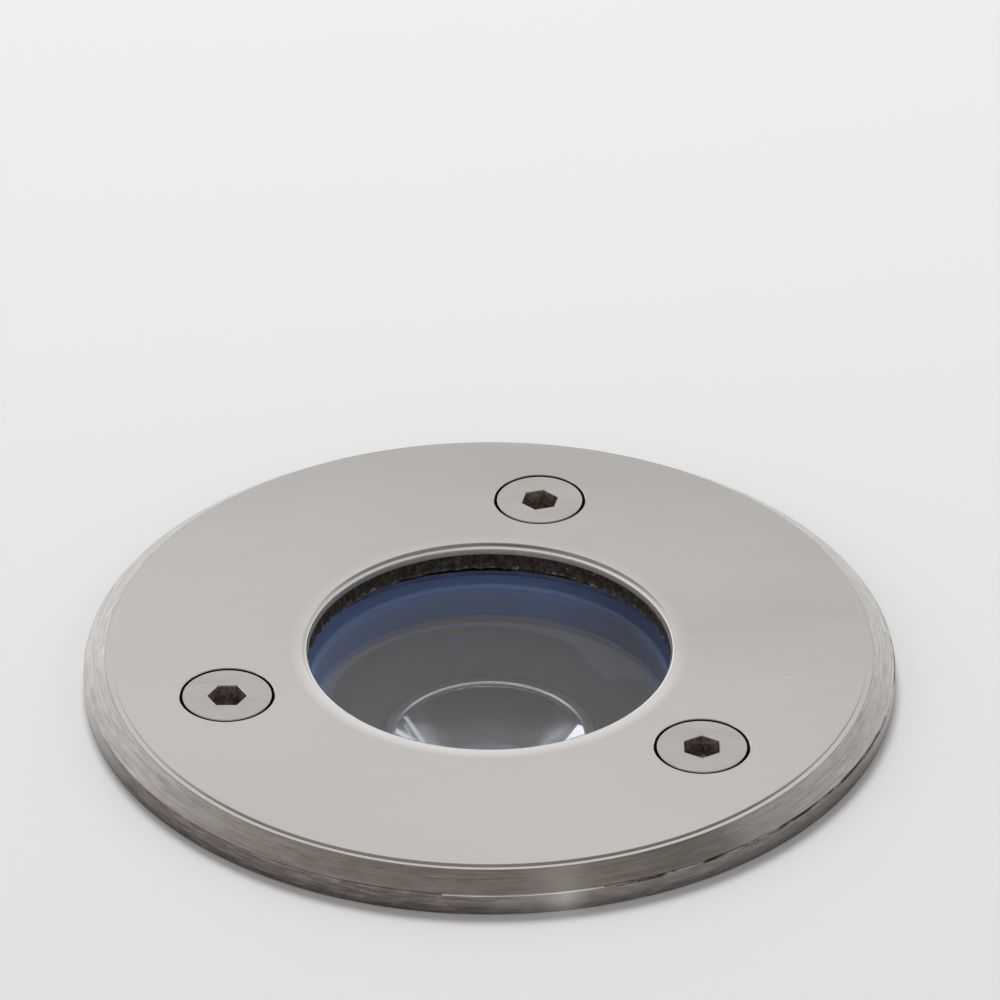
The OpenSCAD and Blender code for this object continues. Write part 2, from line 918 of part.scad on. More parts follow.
module neutral_lead() {
    color("royalblue")
        holder_lead(1);
}

module earth_lead() {
    start_y = tube_l / 2 - lead_in;
    color("limegreen") {
        translate([0, start_y, tube_z])
            rotate([-90, 0, 0])
                cylinder(r = lead_r, h = earth_lead_y - lead_bend_r - start_y);
        translate([0, earth_lead_y - lead_bend_r, tube_z - lead_bend_r])
            lead_bend(-90);
        translate([0, earth_lead_y, 0])
            rod(lead_r, tab_z + tab_t, tube_z - lead_bend_r);
    }
}

module earth_tab() {
    color("silver")
        difference() {
            union() {
                translate([0, earth_boss_y, 0])
                    rod(tab_r, tab_z, tab_z + tab_t);
                translate([-tab_w / 2, earth_lead_y, tab_z])
                    cube([tab_w, earth_boss_y - earth_lead_y, tab_t]);
                translate([0, earth_lead_y, 0])
                    rod(barrel_r, tab_z, tab_z + tab_t + barrel_h);
            }
            translate([0, earth_boss_y, 0])
                rod(strap_screw_r + seat_gap, tab_z - over, tab_z + tab_t + over);
            translate([0, earth_lead_y, 0])
                rod(lead_r, tab_z + tab_t, tab_z + tab_t + barrel_h + over);
        }
}

module earth_screw() {
    color("silver")
        translate([0, earth_boss_y, tab_z + tab_t])
            pan_screw(strap_screw_d, earth_screw_l);
}

module gland_body() {
    color("#2a2a2a")
        difference() {
            union() {
                rod(gland_r, gland_hex_z, gland_top_z);
                hex_bore(gland_af, stub_top_z, gland_hex_z);
                rod(stub_r, stub_z, stub_top_z);
            }
            rod(gland_bore_r, stub_z - over, gland_top_z + over);
        }
}

module gland_washer() {
    color("#101010")
        ring(gland_r + washer_w, gland_r + run_gap, gland_hex_z, pot_z);
}

module gland_lock_nut() {
    color("#3a3a3a")
        difference() {
            hex_bore(lock_nut_af, floor_z, floor_z + lock_nut_h);
            rod(gland_r + run_gap, floor_z - over, floor_z + lock_nut_h + over);
        }
}

module gland_seal() {
    color("#101010")
        rotate_extrude()
            polygon([
                [cable_r, seal_z], [seal_r - seal_below / 2, seal_z], [seal_r, stub_z],
                [seal_r, seal_top_z], [cable_r, seal_top_z]
            ]);
}

module gland_nut() {
    nut_bore_r = stub_r + run_gap;
    mouth_r = cable_r + mouth_gap;
    dome_r = nut_bore_r + dome_wall;
    color("#2a2a2a")
        difference() {
            union() {
                hex_bore(gland_af, dome_top_z - dome_h / 2, dome_top_z);
                rotate_extrude()
                    polygon([
                        [0, dome_z], [mouth_r + dome_wall, dome_z],
                        [dome_r, dome_z + dome_h / 4], [dome_r, dome_top_z - dome_h / 4],
                        [0, dome_top_z - dome_h / 4]
                    ]);
            }
            rotate_extrude()
                polygon([
                    [0, dome_z - over], [mouth_r, dome_z - over], [mouth_r, dome_z + dome_wall],
                    [seal_r - seal_below / 2 + pass_gap, seal_z - pass_gap],
                    [seal_r + pass_gap, stub_z - pass_gap], [nut_bore_r, stub_z - pass_gap],
                    [nut_bore_r, dome_top_z + over], [0, dome_top_z + over]
                ]);
        }
}

module cable_notch() {
    translate([-notch_w / 2, foot_r - over, sleeve_z - over])
        cube([notch_w, foot_w + sleeve_wall + over + over, notch_h - notch_w / 2 + over]);
    translate([0, foot_r - over, sleeve_z + notch_h - notch_w / 2])
        rotate([-90, 0, 0])
            cylinder(r = notch_w / 2, h = foot_w + sleeve_wall + over + over);
}

module mounting_sleeve() {
    color("#202020")
        difference() {
            union() {
                rotate_extrude()
                    polygon([
                        [foot_r, sleeve_z], [sleeve_r, sleeve_z], [sleeve_r, 0],
                        [sleeve_r - step_t, step_t],
                        [sleeve_in_r + sleeve_chamfer, step_t],
                        [sleeve_in_r, step_t - sleeve_chamfer],
                        [sleeve_in_r, sleeve_z + foot_t], [foot_r, sleeve_z + foot_t]
                    ]);
                for (i = [0:sleeve_ribs - 1])
                    rotate((i + 0.5) * 360 / sleeve_ribs)
                        translate([sleeve_in_r - sleeve_rib_in, -sleeve_rib_t / 2, sleeve_z])
                            cube([
                                sleeve_rib_in + sleeve_wall / 2, sleeve_rib_t,
                                boss_z - rib_top_gap - sleeve_z
                            ]);
            }
            for (i = [0:grip_grooves - 1])
                translate([0, 0, -sleeve_plain_h - groove_w - i * groove_step])
                    ring(sleeve_r + over, sleeve_r - groove_depth, 0, groove_w);
            for (a = [0, 180])
                rotate(a)
                    cable_notch();
            for (i = [0:sleeve_ribs - 1])
                rotate((i + 0.25) * 360 / sleeve_ribs)
                    translate([foot_r + foot_w / 2, 0, 0])
                        rod(drain_r, sleeve_z - over, sleeve_z + foot_t + over);
        }
}

mounting_sleeve();
housing();
lower_gasket();
baffle();
lamp_holder();
holder_contacts();
holder_bracket();
holder_screws();
bracket_screws();
terminal_block();
terminal_tubes();
terminal_screws();
block_screws();
live_lead();
neutral_lead();
earth_lead();
earth_tab();
earth_screw();
gland_body();
gland_washer();
gland_lock_nut();
gland_seal();
gland_nut();
trim_ring();
glass_lens();
upper_gasket();
left_screw();
right_screw();
rear_screw();
left_screw_seal();
right_screw_seal();
rear_screw_seal();
lamp_heat_sink();
lamp_base();
lamp_pins();
lamp_lens();
lens_ring();
led_board();
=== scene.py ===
# In ground well light: a steel ring in the ground, over a baffled reflector lamp in a cast pot.
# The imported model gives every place. All lengths here are in millimetres, and mm makes them metres.
import math

import bmesh
import bpy
from mathutils import Matrix, Vector


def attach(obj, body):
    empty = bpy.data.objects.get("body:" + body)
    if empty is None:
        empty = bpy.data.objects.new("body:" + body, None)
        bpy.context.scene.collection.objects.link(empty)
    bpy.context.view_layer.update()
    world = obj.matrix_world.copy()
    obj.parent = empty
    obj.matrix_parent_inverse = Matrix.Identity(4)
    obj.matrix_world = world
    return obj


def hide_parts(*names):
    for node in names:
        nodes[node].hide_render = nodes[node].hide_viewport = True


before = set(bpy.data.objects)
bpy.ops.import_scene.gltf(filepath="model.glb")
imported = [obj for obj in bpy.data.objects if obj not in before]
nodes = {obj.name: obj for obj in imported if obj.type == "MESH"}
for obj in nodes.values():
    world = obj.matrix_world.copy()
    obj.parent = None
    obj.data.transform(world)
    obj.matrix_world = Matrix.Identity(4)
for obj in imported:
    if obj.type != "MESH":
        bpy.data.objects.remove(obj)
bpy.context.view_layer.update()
mm = 0.001
up = Vector((0, 0, 1))

# The photographer's camera stands in front of the light and looks down on it through a long lens.
# Its place, pitch and lens come from a fit to the ring's rim, its opening and its screws.
camera = bpy.data.objects.new("camera", bpy.data.cameras.new("camera"))
bpy.context.scene.collection.objects.link(camera)
bpy.context.scene.camera = camera
camera.data.lens, camera.data.sensor_width = 238.4, 36
camera.data.clip_start, camera.data.clip_end = 0.01, 30
camera.location = (1.42 * mm, -746.3 * mm, 503.7 * mm)
camera.rotation_euler = (math.radians(90 - 32.49), 0, 0)


# Mounting sleeve: a tube of black polypropylene, moulded with a fine spark-eroded grain, that stays
# in the ground. Grip grooves run round its lower half, its foot ring has drain holes, and a cable
# leaves by an arched notch in front or behind.
def soften(corners, steps=9):
    """Rounds each corner (r, z, round) of an outline, and holds the flats beside it flat."""
    outline = []
    for i, (r, z, *bend) in enumerate(corners):
        here = Vector((r, z))
        if not bend:
            outline.append(here)
            continue
        before = (Vector(corners[i - 1][:2]) - here).normalized()
        after = (Vector(corners[(i + 1) % len(corners)][:2]) - here).normalized()
        half = before.angle(after) / 2
        reach = bend[0] / math.tan(half)
        centre = here + (before + after).normalized() * bend[0] / math.sin(half)
        start, end = here + before * reach - centre, here + after * reach - centre
        turn = start.angle_signed(end)
        hold = 0.15 * bend[0]
        outline.append(here + before * (reach + hold))
        for k in range(steps + 1):
            outline.append(centre + Matrix.Rotation(-turn * k / steps, 2) @ start)
        outline.append(here + after * (reach + hold))
    return outline


def turn(outline, steps=192):
    """Turns a closed outline of (r, z) round the upright axis into a closed shell."""
    shell = bmesh.new()
    rounds = []
    for r, z in outline:
        if r < 1e-6:
            rounds.append([shell.verts.new((0, 0, z * mm))])
            continue
        rounds.append([
            shell.verts.new((r * mm * math.cos(a), r * mm * math.sin(a), z * mm))
            for a in (math.tau * k / steps for k in range(steps))
        ])
    for low, high in zip(rounds, rounds[1:] + rounds[:1]):
        for k in range(steps):
            j = (k + 1) % steps
            if len(low) == 1 and len(high) == 1:
                break
            if len(low) == 1:
                shell.faces.new((low[0], high[j], high[k]))
            elif len(high) == 1:
                shell.faces.new((low[k], low[j], high[0]))
            else:
                shell.faces.new((low[k], low[j], high[j], high[k]))
    bmesh.ops.recalc_face_normals(shell, faces=shell.faces)
    return shell


def plate(outline, low, high, ease=0):
    """A flat outline of (x, y), raised from low to high, with eased edges."""
    shell = bmesh.new()
    foot = shell.faces.new([shell.verts.new((x * mm, y * mm, low * mm)) for x, y in outline])
    raised = bmesh.ops.extrude_face_region(shell, geom=[foot])["geom"]
    top = [v for v in raised if isinstance(v, bmesh.types.BMVert)]
    bmesh.ops.translate(shell, verts=top, vec=up * (high - low) * mm)
    bmesh.ops.recalc_face_normals(shell, faces=shell.faces)
    if ease:
        bmesh.ops.bevel(
            shell, geom=shell.edges[:], offset=ease * mm, segments=2, profile=0.5,
            affect="EDGES", clamp_overlap=True,
        )
    return shell


def gather(*shells):
    """Puts several shells into one."""
    whole = bmesh.new()
    for shell in shells:
        carrier = bpy.data.meshes.new("carrier")
        shell.to_mesh(carrier)
        shell.free()
        whole.from_mesh(carrier)
        bpy.data.meshes.remove(carrier)
    return whole


def moved(shell, place):
    """Turns or shifts a shell by a matrix."""
    shell.transform(place)
    return shell


def make_piece(name, shell, finish, body, stands_for=(), crease=13):
    """A shell becomes a named piece with its finish, riding on its body."""
    mesh = bpy.data.meshes.new(name)
    shell.to_mesh(mesh)
    shell.free()
    piece = bpy.data.objects.new(name, mesh)
    bpy.context.scene.collection.objects.link(piece)
    mesh.shade_smooth()
    mesh.set_sharp_from_angle(angle=math.radians(crease))
    mesh.materials.clear()
    mesh.materials.append(finish)
    if body:
        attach(piece, body)
    if stands_for:
        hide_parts(*stands_for)
    return piece


def take_mesh(piece, modifier):
    """The modifier's result becomes the piece's own mesh."""
    shown = piece.evaluated_get(bpy.context.evaluated_depsgraph_get())
    mesh = bpy.data.meshes.new_from_object(shown)
    piece.modifiers.remove(modifier)
    piece.data = mesh


def cut_away(shell, tool, how="DIFFERENCE"):
    """Cuts the tool's shell out of another shell."""
    carriers = []
    for each in (shell, tool):
        mesh = bpy.data.meshes.new("carrier")
        each.to_mesh(mesh)
        each.free()
        carriers.append(bpy.data.objects.new("carrier", mesh))
        bpy.context.scene.collection.objects.link(carriers[-1])
    cut = carriers[0].modifiers.new("cut", "BOOLEAN")
    cut.object, cut.operation, cut.solver = carriers[1], how, "EXACT"
    take_mesh(carriers[0], cut)
    result = bmesh.new()
    result.from_mesh(carriers[0].data)
    for carrier in carriers:
        bpy.data.objects.remove(carrier)
    return result


def copies_tree():
    """Copies of one shell, turned round the upright axis."""
    tree = bpy.data.node_groups.new("ring of copies", "GeometryNodeTree")
    for label, kind in (
        ("Piece", "NodeSocketGeometry"), ("Count", "NodeSocketInt"),
        ("First angle", "NodeSocketFloat"), ("Finish", "NodeSocketMaterial"),
    ):
        tree.interface.new_socket(label, in_out="INPUT", socket_type=kind)
    tree.interface.new_socket("Ring", in_out="OUTPUT", socket_type="NodeSocketGeometry")
    given = tree.nodes.new("NodeGroupInput")
    points = tree.nodes.new("GeometryNodeMeshLine")
    points.inputs["Offset"].default_value = (0, 0, 0)
    tree.links.new(given.outputs["Count"], points.inputs["Count"])
    number = tree.nodes.new("GeometryNodeInputIndex")
    share = tree.nodes.new("ShaderNodeMath")
    share.operation = "DIVIDE"
    tree.links.new(number.outputs[0], share.inputs[0])
    tree.links.new(given.outputs["Count"], share.inputs[1])
    angle = tree.nodes.new("ShaderNodeMath")
    angle.operation = "MULTIPLY_ADD"
    angle.inputs[1].default_value = math.tau
    tree.links.new(share.outputs[0], angle.inputs[0])
    tree.links.new(given.outputs["First angle"], angle.inputs[2])
    turned = tree.nodes.new("ShaderNodeCombineXYZ")
    tree.links.new(angle.outputs[0], turned.inputs["Z"])
    placed = tree.nodes.new("GeometryNodeInstanceOnPoints")
    tree.links.new(points.outputs["Mesh"], placed.inputs["Points"])
    tree.links.new(given.outputs["Piece"], placed.inputs["Instance"])
    tree.links.new(turned.outputs[0], placed.inputs["Rotation"])
    real = tree.nodes.new("GeometryNodeRealizeInstances")
    tree.links.new(placed.outputs["Instances"], real.inputs["Geometry"])
    dressed = tree.nodes.new("GeometryNodeSetMaterial")
    tree.links.new(real.outputs["Geometry"], dressed.inputs["Geometry"])
    tree.links.new(given.outputs["Finish"], dressed.inputs["Material"])
    result = tree.nodes.new("NodeGroupOutput")
    tree.links.new(dressed.outputs["Geometry"], result.inputs["Ring"])
    return tree


ring_of_copies = copies_tree()


def all_round(shell, count, first_angle, finish):
    """A shell repeated count times round the light's axis."""
    mesh = bpy.data.meshes.new("carrier")
    shell.to_mesh(mesh)
    shell.free()
    carrier = bpy.data.objects.new("carrier", mesh)
    bpy.context.scene.collection.objects.link(carrier)
    copies = carrier.modifiers.new("copies", "NODES")
    copies.node_group = ring_of_copies
    wanted = {"Count": count, "First angle": math.radians(first_angle), "Finish": finish}
    for item in ring_of_copies.interface.items_tree:
        if item.name in wanted:
            copies[item.identifier] = wanted[item.name]
    take_mesh(carrier, copies)
    result = bmesh.new()
    result.from_mesh(carrier.data)
    bpy.data.objects.remove(carrier)
    return result


def plain_finish(name, colour, roughness, metallic=0.0):
    """A material with a Principled shader, and its object coordinates."""
    finish = bpy.data.materials.new(name)
    finish.use_nodes = True
    shader = finish.node_tree.nodes["Principled BSDF"]
    shader.inputs["Base Color"].default_value = (*colour, 1)
    shader.inputs["Roughness"].default_value = roughness
    shader.inputs["Metallic"].default_value = metallic
    place = finish.node_tree.nodes.new("ShaderNodeTexCoord")
    return finish, shader, place.outputs["Object"]


def noise_over(tree, spot, detail, roughness):
    """Noise whose lumps are about 1 across."""
    noise = tree.nodes.new("ShaderNodeTexNoise")
    noise.inputs["Scale"].default_value = 1
    noise.inputs["Detail"].default_value = detail
    noise.inputs["Roughness"].default_value = roughness
    tree.links.new(spot, noise.inputs["Vector"])
    return noise.outputs["Fac"]


def xyz_of(tree, place):
    """A node that gives the X, Y and Z of a place."""
    split = tree.nodes.new("ShaderNodeSeparateXYZ")
    tree.links.new(place, split.inputs[0])
    return split


def grain(finish, place, size, detail=3, stretch=(1, 1, 1), roughness=0.5):
    """Noise whose lumps are about size mm across, stretched along the axes."""
    tree = finish.node_tree
    scaled = tree.nodes.new("ShaderNodeMapping")
    scaled.inputs["Scale"].default_value = [1 / (size * mm * s) for s in stretch]
    tree.links.new(place, scaled.inputs["Vector"])
    return noise_over(tree, scaled.outputs[0], detail, roughness)


def bands(finish, value, stops):
    """A colour ramp over a value: stops are (position, colour or grey)."""
    ramp = finish.node_tree.nodes.new("ShaderNodeValToRGB")
    for i, (at, colour) in enumerate(stops):
        if isinstance(colour, (int, float)):
            colour = (colour,) * 3
        stop = ramp.color_ramp.elements[i] if i < 2 else ramp.color_ramp.elements.new(at)
        stop.position, stop.color = at, (*colour, 1)
    finish.node_tree.links.new(value, ramp.inputs["Fac"])
    return ramp.outputs["Color"]


def bump(finish, shader, height, depth):
    """Raises the surface by depth mm times a height of 0 to 1."""
    raised = finish.node_tree.nodes.new("ShaderNodeBump")
    raised.inputs["Distance"].default_value = depth * mm
    raised.inputs["Strength"].default_value = 1
    finish.node_tree.links.new(height, raised.inputs["Height"])
    under = shader.inputs["Normal"]
    if under.is_linked:
        finish.node_tree.links.new(under.links[0].from_socket, raised.inputs["Normal"])
    finish.node_tree.links.new(raised.outputs["Normal"], under)


def tint(finish, shader, value, stops):
    """The base colour follows a ramp over a value."""
    finish.node_tree.links.new(bands(finish, value, stops), shader.inputs["Base Color"])


def sheen(finish, shader, value, low, high):
    """The roughness follows a value, between low and high."""
    finish.node_tree.links.new(
        bands(finish, value, [(0.3, low), (0.7, high)]), shader.inputs["Roughness"]
    )


sleeve_plastic, shader, place = plain_finish("sleeve plastic", (0.022, 0.022, 0.023), 0.5)
tint(sleeve_plastic, shader, grain(sleeve_plastic, place, 14, 5),
     [(0.3, (0.017, 0.017, 0.018)), (0.7, (0.034, 0.033, 0.032))])
sheen(sleeve_plastic, shader, grain(sleeve_plastic, place, 5, 4), 0.42, 0.6)
bump(sleeve_plastic, shader, grain(sleeve_plastic, place, 0.35, 2), 0.02)

sleeve_outer_r, sleeve_inner_r, foot_inner_r = 47.5, 45, 38
rim_z, foot_top_z, foot_z = 0.5, -126.8, -129.8
groove_r, groove_z, groove_w, groove_step = 46.5, -65, 5, 13.45
outline = [(foot_inner_r, foot_z, 0.4), (sleeve_outer_r, foot_z, 0.6)]
for i in (3, 2, 1, 0):
    low_z = groove_z - i * groove_step
    outline += [(sleeve_outer_r, low_z, 0.4), (groove_r, low_z, 0.4),
                (groove_r, low_z + groove_w, 0.4), (sleeve_outer_r, low_z + groove_w, 0.4)]
outline += [(sleeve_outer_r, 0, 0.15), (47, rim_z, 0.15), (46, rim_z, 0.2),
            (sleeve_inner_r, rim_z - 1, 0.4),
            (sleeve_inner_r, foot_top_z, 1), (foot_inner_r, foot_top_z, 0.5)]
tube = turn(soften(outline))
notch_r, notch_mid_z = 6, -119.8
arch = [(-notch_r, -135), (notch_r, -135)]
arch += [(notch_r * math.cos(a), notch_mid_z + notch_r * math.sin(a))
         for a in (math.pi * k / 24 for k in range(25))]
on_edge = Matrix.Rotation(math.radians(90), 4, "X")
notches = [
    moved(plate(arch, 36, 49), on_edge @ Matrix.Scale(side, 4, up)) for side in (1, -1)
]
for notch in notches:
    bmesh.ops.recalc_face_normals(notch, faces=notch.faces)
drain_r, drain_circle = 2, 41.5
drains = [
    moved(turn([(0, -132), (drain_r, -132), (drain_r, -125), (0, -125)], 32),
          Matrix.Rotation(math.radians(22.5 + 90 * i), 4, "Z")
          @ Matrix.Translation((drain_circle * mm, 0, 0)))
    for i in range(4)
]
tube = cut_away(tube, gather(*notches, *drains))
inner_rib = plate([(42, -1), (46, -1), (46, 1), (42, 1)], foot_top_z - 1, -22.95, 0.3)
split_line = plate([(47.4, -0.12), (47.62, 0), (47.4, 0.12)], -56, -1)
make_piece(
    "sleeve_moulding",
    gather(tube, all_round(inner_rib, 4, 45, sleeve_plastic),
           all_round(split_line, 2, 0, sleeve_plastic)),
    sleeve_plastic, "sleeve", ["mounting_sleeve"],
)


# Lamp housing: a pot cast in aluminium and powder coated dark grey. Its flange carries the ring on
# three tapped bosses, upright ribs stiffen it, and posts inside carry the lamp holder's strap.
housing_coat, shader, place = plain_finish("housing coat", (0.1, 0.1, 0.1), 0.5)
tint(housing_coat, shader, grain(housing_coat, place, 18, 4),
     [(0.35, (0.07, 0.071, 0.073)), (0.65, (0.1, 0.1, 0.1))])
sheen(housing_coat, shader, grain(housing_coat, place, 3, 3), 0.38, 0.55)
bump(housing_coat, shader, grain(housing_coat, place, 1.1, 2), 0.05)
bump(housing_coat, shader, grain(housing_coat, place, 0.3, 2), 0.012)

screw_circle, screw_angles = 37.2, {"left": 199.2, "right": 319.2, "rear": 79.2}
flange_r, flange_top_z, flange_low_z, collar_r = 44, 0.5, -4.5, 34
pot_r, pot_bore_r, pocket_r, ledge_z = 29.5, 26.5, 30.5, -6.2
pot_z, pot_floor_z, gland_hole_r = -102, -99, 8.05
boss_r, boss_z, tap_r, tap_end_z = 6, -18.95, 3.05, -16.95
pot = turn(soften([
    (gland_hole_r, pot_z, 0.15), (14, pot_z, 0.3), (14, -101.2), (27.5, -101.2, 0.8),
    (pot_r, -99.2, 0.8), (pot_r, -14.5, 1.5), (collar_r, -10, 0.8), (collar_r, flange_low_z, 0.8),
    (flange_r, flange_low_z, 0.8), (flange_r, flange_top_z, 0.4), (pocket_r, flange_top_z, 0.3),
    (pocket_r, ledge_z), (pot_bore_r, ledge_z, 0.3), (pot_bore_r, pot_floor_z, 1.5),
    (gland_hole_r, pot_floor_z, 0.15),
]))


def at_screw(angle):
    """The place at this angle on the screw circle."""
    return (Matrix.Rotation(math.radians(angle), 4, "Z")
            @ Matrix.Translation((screw_circle * mm, 0, 0)))


taps = [
    moved(turn([(0, -7), (tap_r, -7), (tap_r, 2), (0, 2)], 48), at_screw(angle))
    for angle in screw_angles.values()
]
pot = cut_away(pot, gather(*taps))
bosses = []
for angle in screw_angles.values():
    bosses.append(moved(turn(soften([
        (0, boss_z), (boss_r, boss_z, 1), (boss_r, -2), (tap_r, -2), (tap_r, tap_end_z),
        (0, tap_end_z),
    ]), 64), at_screw(angle)))
    bosses.append(moved(plate([(28.2, -2.5), (37, -2.5), (37, 2.5), (28.2, 2.5)],
                              boss_z, -4, 0.5), Matrix.Rotation(math.radians(angle), 4, "Z")))
upright_rib = moved(
    plate([(28.5, -99), (29.5, -99), (32.5, -96), (32.5, -21.7), (29.5, -18.5), (28.5, -18.5)],
          -1, 1, 0.45),
    on_edge,
)
gusset = moved(
    plate([(28.5, boss_z), (31, boss_z), (42.5, -6), (42.5, -2), (32, -2), (28.5, -10)],
          -1.5, 1.5, 0.5),
    on_edge,
)
post_r, post_top_z, post_x, small_tap_r = 4.5, -77.1, 22.6, 2.05
posts = [
    moved(turn(soften([(0, -100), (post_r, -100), (post_r, post_top_z, 0.4),
                       (small_tap_r, post_top_z, 0.1), (small_tap_r, post_top_z - 9),
                       (0, post_top_z - 9)]), 48), Matrix.Translation((x * mm, 0, 0)))
    for x in (-post_x, post_x)
]
earth_boss_r, earth_boss_top_z, earth_boss_y = 4, -94, 20.5
earth_boss = moved(
    turn(soften([(0, -100), (earth_boss_r, -100), (earth_boss_r, earth_boss_top_z, 0.3),
                 (small_tap_r, earth_boss_top_z, 0.1), (small_tap_r, pot_floor_z),
                 (0, pot_floor_z)]), 48),
    Matrix.Translation((0, earth_boss_y * mm, 0)),
)
make_piece(
    "housing_casting",
    gather(pot, *bosses, *posts, earth_boss, all_round(upright_rib, 12, 15, housing_coat),
           all_round(gusset, 3, 19.2, housing_coat)),
    housing_coat, "light", ["housing"],
)


# Cable gland: black polyamide body, washer, lock nut inside and domed nut outside, which squeezes a
# rubber seal round the supply cable. The body's thread goes through the pot's floor.
gland_plastic, shader, place = plain_finish("gland plastic", (0.035, 0.035, 0.037), 0.4)
tint(gland_plastic, shader, grain(gland_plastic, place, 5, 4),
     [(0.35, (0.026, 0.026, 0.028)), (0.65, (0.05, 0.05, 0.052))])
sheen(gland_plastic, shader, grain(gland_plastic, place, 1.5, 3), 0.3, 0.46)
bump(gland_plastic, shader, grain(gland_plastic, place, 0.25, 2), 0.01)
seal_rubber, shader, place = plain_finish("seal rubber", (0.018, 0.018, 0.018), 0.55)
tint(seal_rubber, shader, grain(seal_rubber, place, 2, 4),
     [(0.35, (0.013, 0.013, 0.013)), (0.7, (0.032, 0.031, 0.03))])
bump(seal_rubber, shader, grain(seal_rubber, place, 0.4, 3), 0.02)


def hexagon(across, low, high, bore_r):
    """A nut's hexagon with turned corners and a round bore."""
    corner_r = across / 2 / math.cos(math.pi / 6)
    blank = plate([(corner_r * math.cos(math.radians(60 * k)),
                    corner_r * math.sin(math.radians(60 * k))) for k in range(6)], low, high)
    drop = 0.6
    turned = turn([(bore_r, low), (across / 2, low), (corner_r + 0.3, low + drop + 0.3),
                   (corner_r + 0.3, high - drop - 0.3), (across / 2, high), (bore_r, high)], 96)
    return cut_away(blank, turned, "INTERSECT")


gland_body = gather(
    hexagon(20, -108.5, -103.5, 6),
    turn(soften([(6, -116.5, 0.3), (7.5, -116.5, 0.4), (7.5, -107), (8, -107), (8, -94, 0.5),
                 (6, -94, 0.3)]), 96),
)
make_piece("gland_body_moulding", gland_body, gland_plastic, "light", ["gland_body"])
make_piece("gland_lock_ring", hexagon(22, pot_floor_z, -95, gland_hole_r), gland_plastic, "light",
           ["gland_lock_nut"])
dome = turn(soften([
    (4.7, -122.3, 0.3), (6.1, -122.3, 1.1), (8.95, -118.9, 1.8), (8.95, -113), (7.55, -113),
    (7.55, -116.8), (6.2, -116.8), (4.7, -120.9),
]), 96)
grip = plate([(8.6, -0.35), (9.25, -0.2), (9.25, 0.2), (8.6, 0.35)], -118.4, -115, 0.12)
make_piece(
    "gland_dome_nut",
    gather(dome, hexagon(20, -115.55, -108.8, 7.55), all_round(grip, 18, 0, gland_plastic)),
    gland_plastic, "gland_nut", ["gland_nut"],
)
make_piece("gland_seal_sleeve", turn(soften([
    (4, -119, 0.3), (4.65, -119, 0.3), (5.9, -116.5, 0.4), (5.9, -108.9, 0.3), (4, -108.9, 0.3),
]), 64), seal_rubber, "gland_seal", ["gland_seal"])
make_piece("gland_washer_ring", turn(soften([
    (gland_hole_r, -103.5, 0.2), (10.6, -103.5, 0.5), (10.6, pot_z, 0.5),
    (gland_hole_r, pot_z, 0.2),
]), 96), seal_rubber, "light", ["gland_washer"])


# Terminal block and leads: white polyamide round brass tubes, screwed under the strap. Brown and
# blue silicone leads rise from it to the lamp holder, and a green and yellow one goes to earth.
def dress(names, finish):
    """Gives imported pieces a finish, as they are."""
    for name in names:
        nodes[name].data.materials.clear()
        nodes[name].data.materials.append(finish)


block_plastic, shader, place = plain_finish("block plastic", (0.74, 0.74, 0.71), 0.45)
shader.inputs["Subsurface Weight"].default_value = 0.15
shader.inputs["Subsurface Scale"].default_value = 1 * mm
tint(block_plastic, shader, grain(block_plastic, place, 6, 3),
     [(0.35, (0.7, 0.7, 0.66)), (0.65, (0.78, 0.78, 0.76))])
bump(block_plastic, shader, grain(block_plastic, place, 0.3, 2), 0.01)
dress(["terminal_block"], block_plastic)

terminal_brass, shader, place = plain_finish("terminal brass", (0.68, 0.5, 0.22), 0.3, 1)
tint(terminal_brass, shader, grain(terminal_brass, place, 3, 4),
     [(0.35, (0.56, 0.4, 0.17)), (0.65, (0.74, 0.56, 0.27))])
sheen(terminal_brass, shader, grain(terminal_brass, place, 1, 3), 0.24, 0.42)
dress(["terminal_tubes", "holder_contacts"], terminal_brass)

plated_steel, shader, place = plain_finish("plated steel", (0.62, 0.63, 0.65), 0.3, 1)
tint(plated_steel, shader, grain(plated_steel, place, 4, 4),
     [(0.35, (0.52, 0.53, 0.56)), (0.65, (0.68, 0.68, 0.68))])
sheen(plated_steel, shader, grain(plated_steel, place, 1.2, 3), 0.24, 0.42)
bump(plated_steel, shader, grain(plated_steel, place, 0.2, 2), 0.004)
dress(["terminal_screws", "block_screws", "holder_bracket", "holder_screws", "bracket_screws",
       "earth_tab", "earth_screw", "lamp_pins"], plated_steel)

for node, dark, light in (
    ("live_lead", (0.14, 0.055, 0.025), (0.24, 0.1, 0.045)),
    ("neutral_lead", (0.025, 0.11, 0.36), (0.05, 0.19, 0.52)),
):
    sheath, shader, place = plain_finish(node + " sheath", light, 0.5)
    tint(sheath, shader, grain(sheath, place, 3, 4), [(0.35, dark), (0.65, light)])
    bump(sheath, shader, grain(sheath, place, 0.5, 2), 0.02)
    dress([node], sheath)

earth_sheath, shader, place = plain_finish("earth sheath", (0.1, 0.4, 0.08), 0.5)
split = xyz_of(earth_sheath.node_tree, place)
stripe = earth_sheath.node_tree.nodes.new("ShaderNodeMath")
stripe.operation = "MULTIPLY_ADD"
stripe.inputs[1].default_value, stripe.inputs[2].default_value = 1 / (1.6 * mm), 0.5
earth_sheath.node_tree.links.new(split.outputs["X"], stripe.inputs[0])
tint(earth_sheath, shader, stripe.outputs[0],
     [(0.3, (0.08, 0.36, 0.07)), (0.36, (0.75, 0.62, 0.05)), (0.64, (0.75, 0.62, 0.05)),
      (0.7, (0.08, 0.36, 0.07))])
bump(earth_sheath, shader, grain(earth_sheath, place, 0.5, 2), 0.02)
dress(["earth_lead"], earth_sheath)


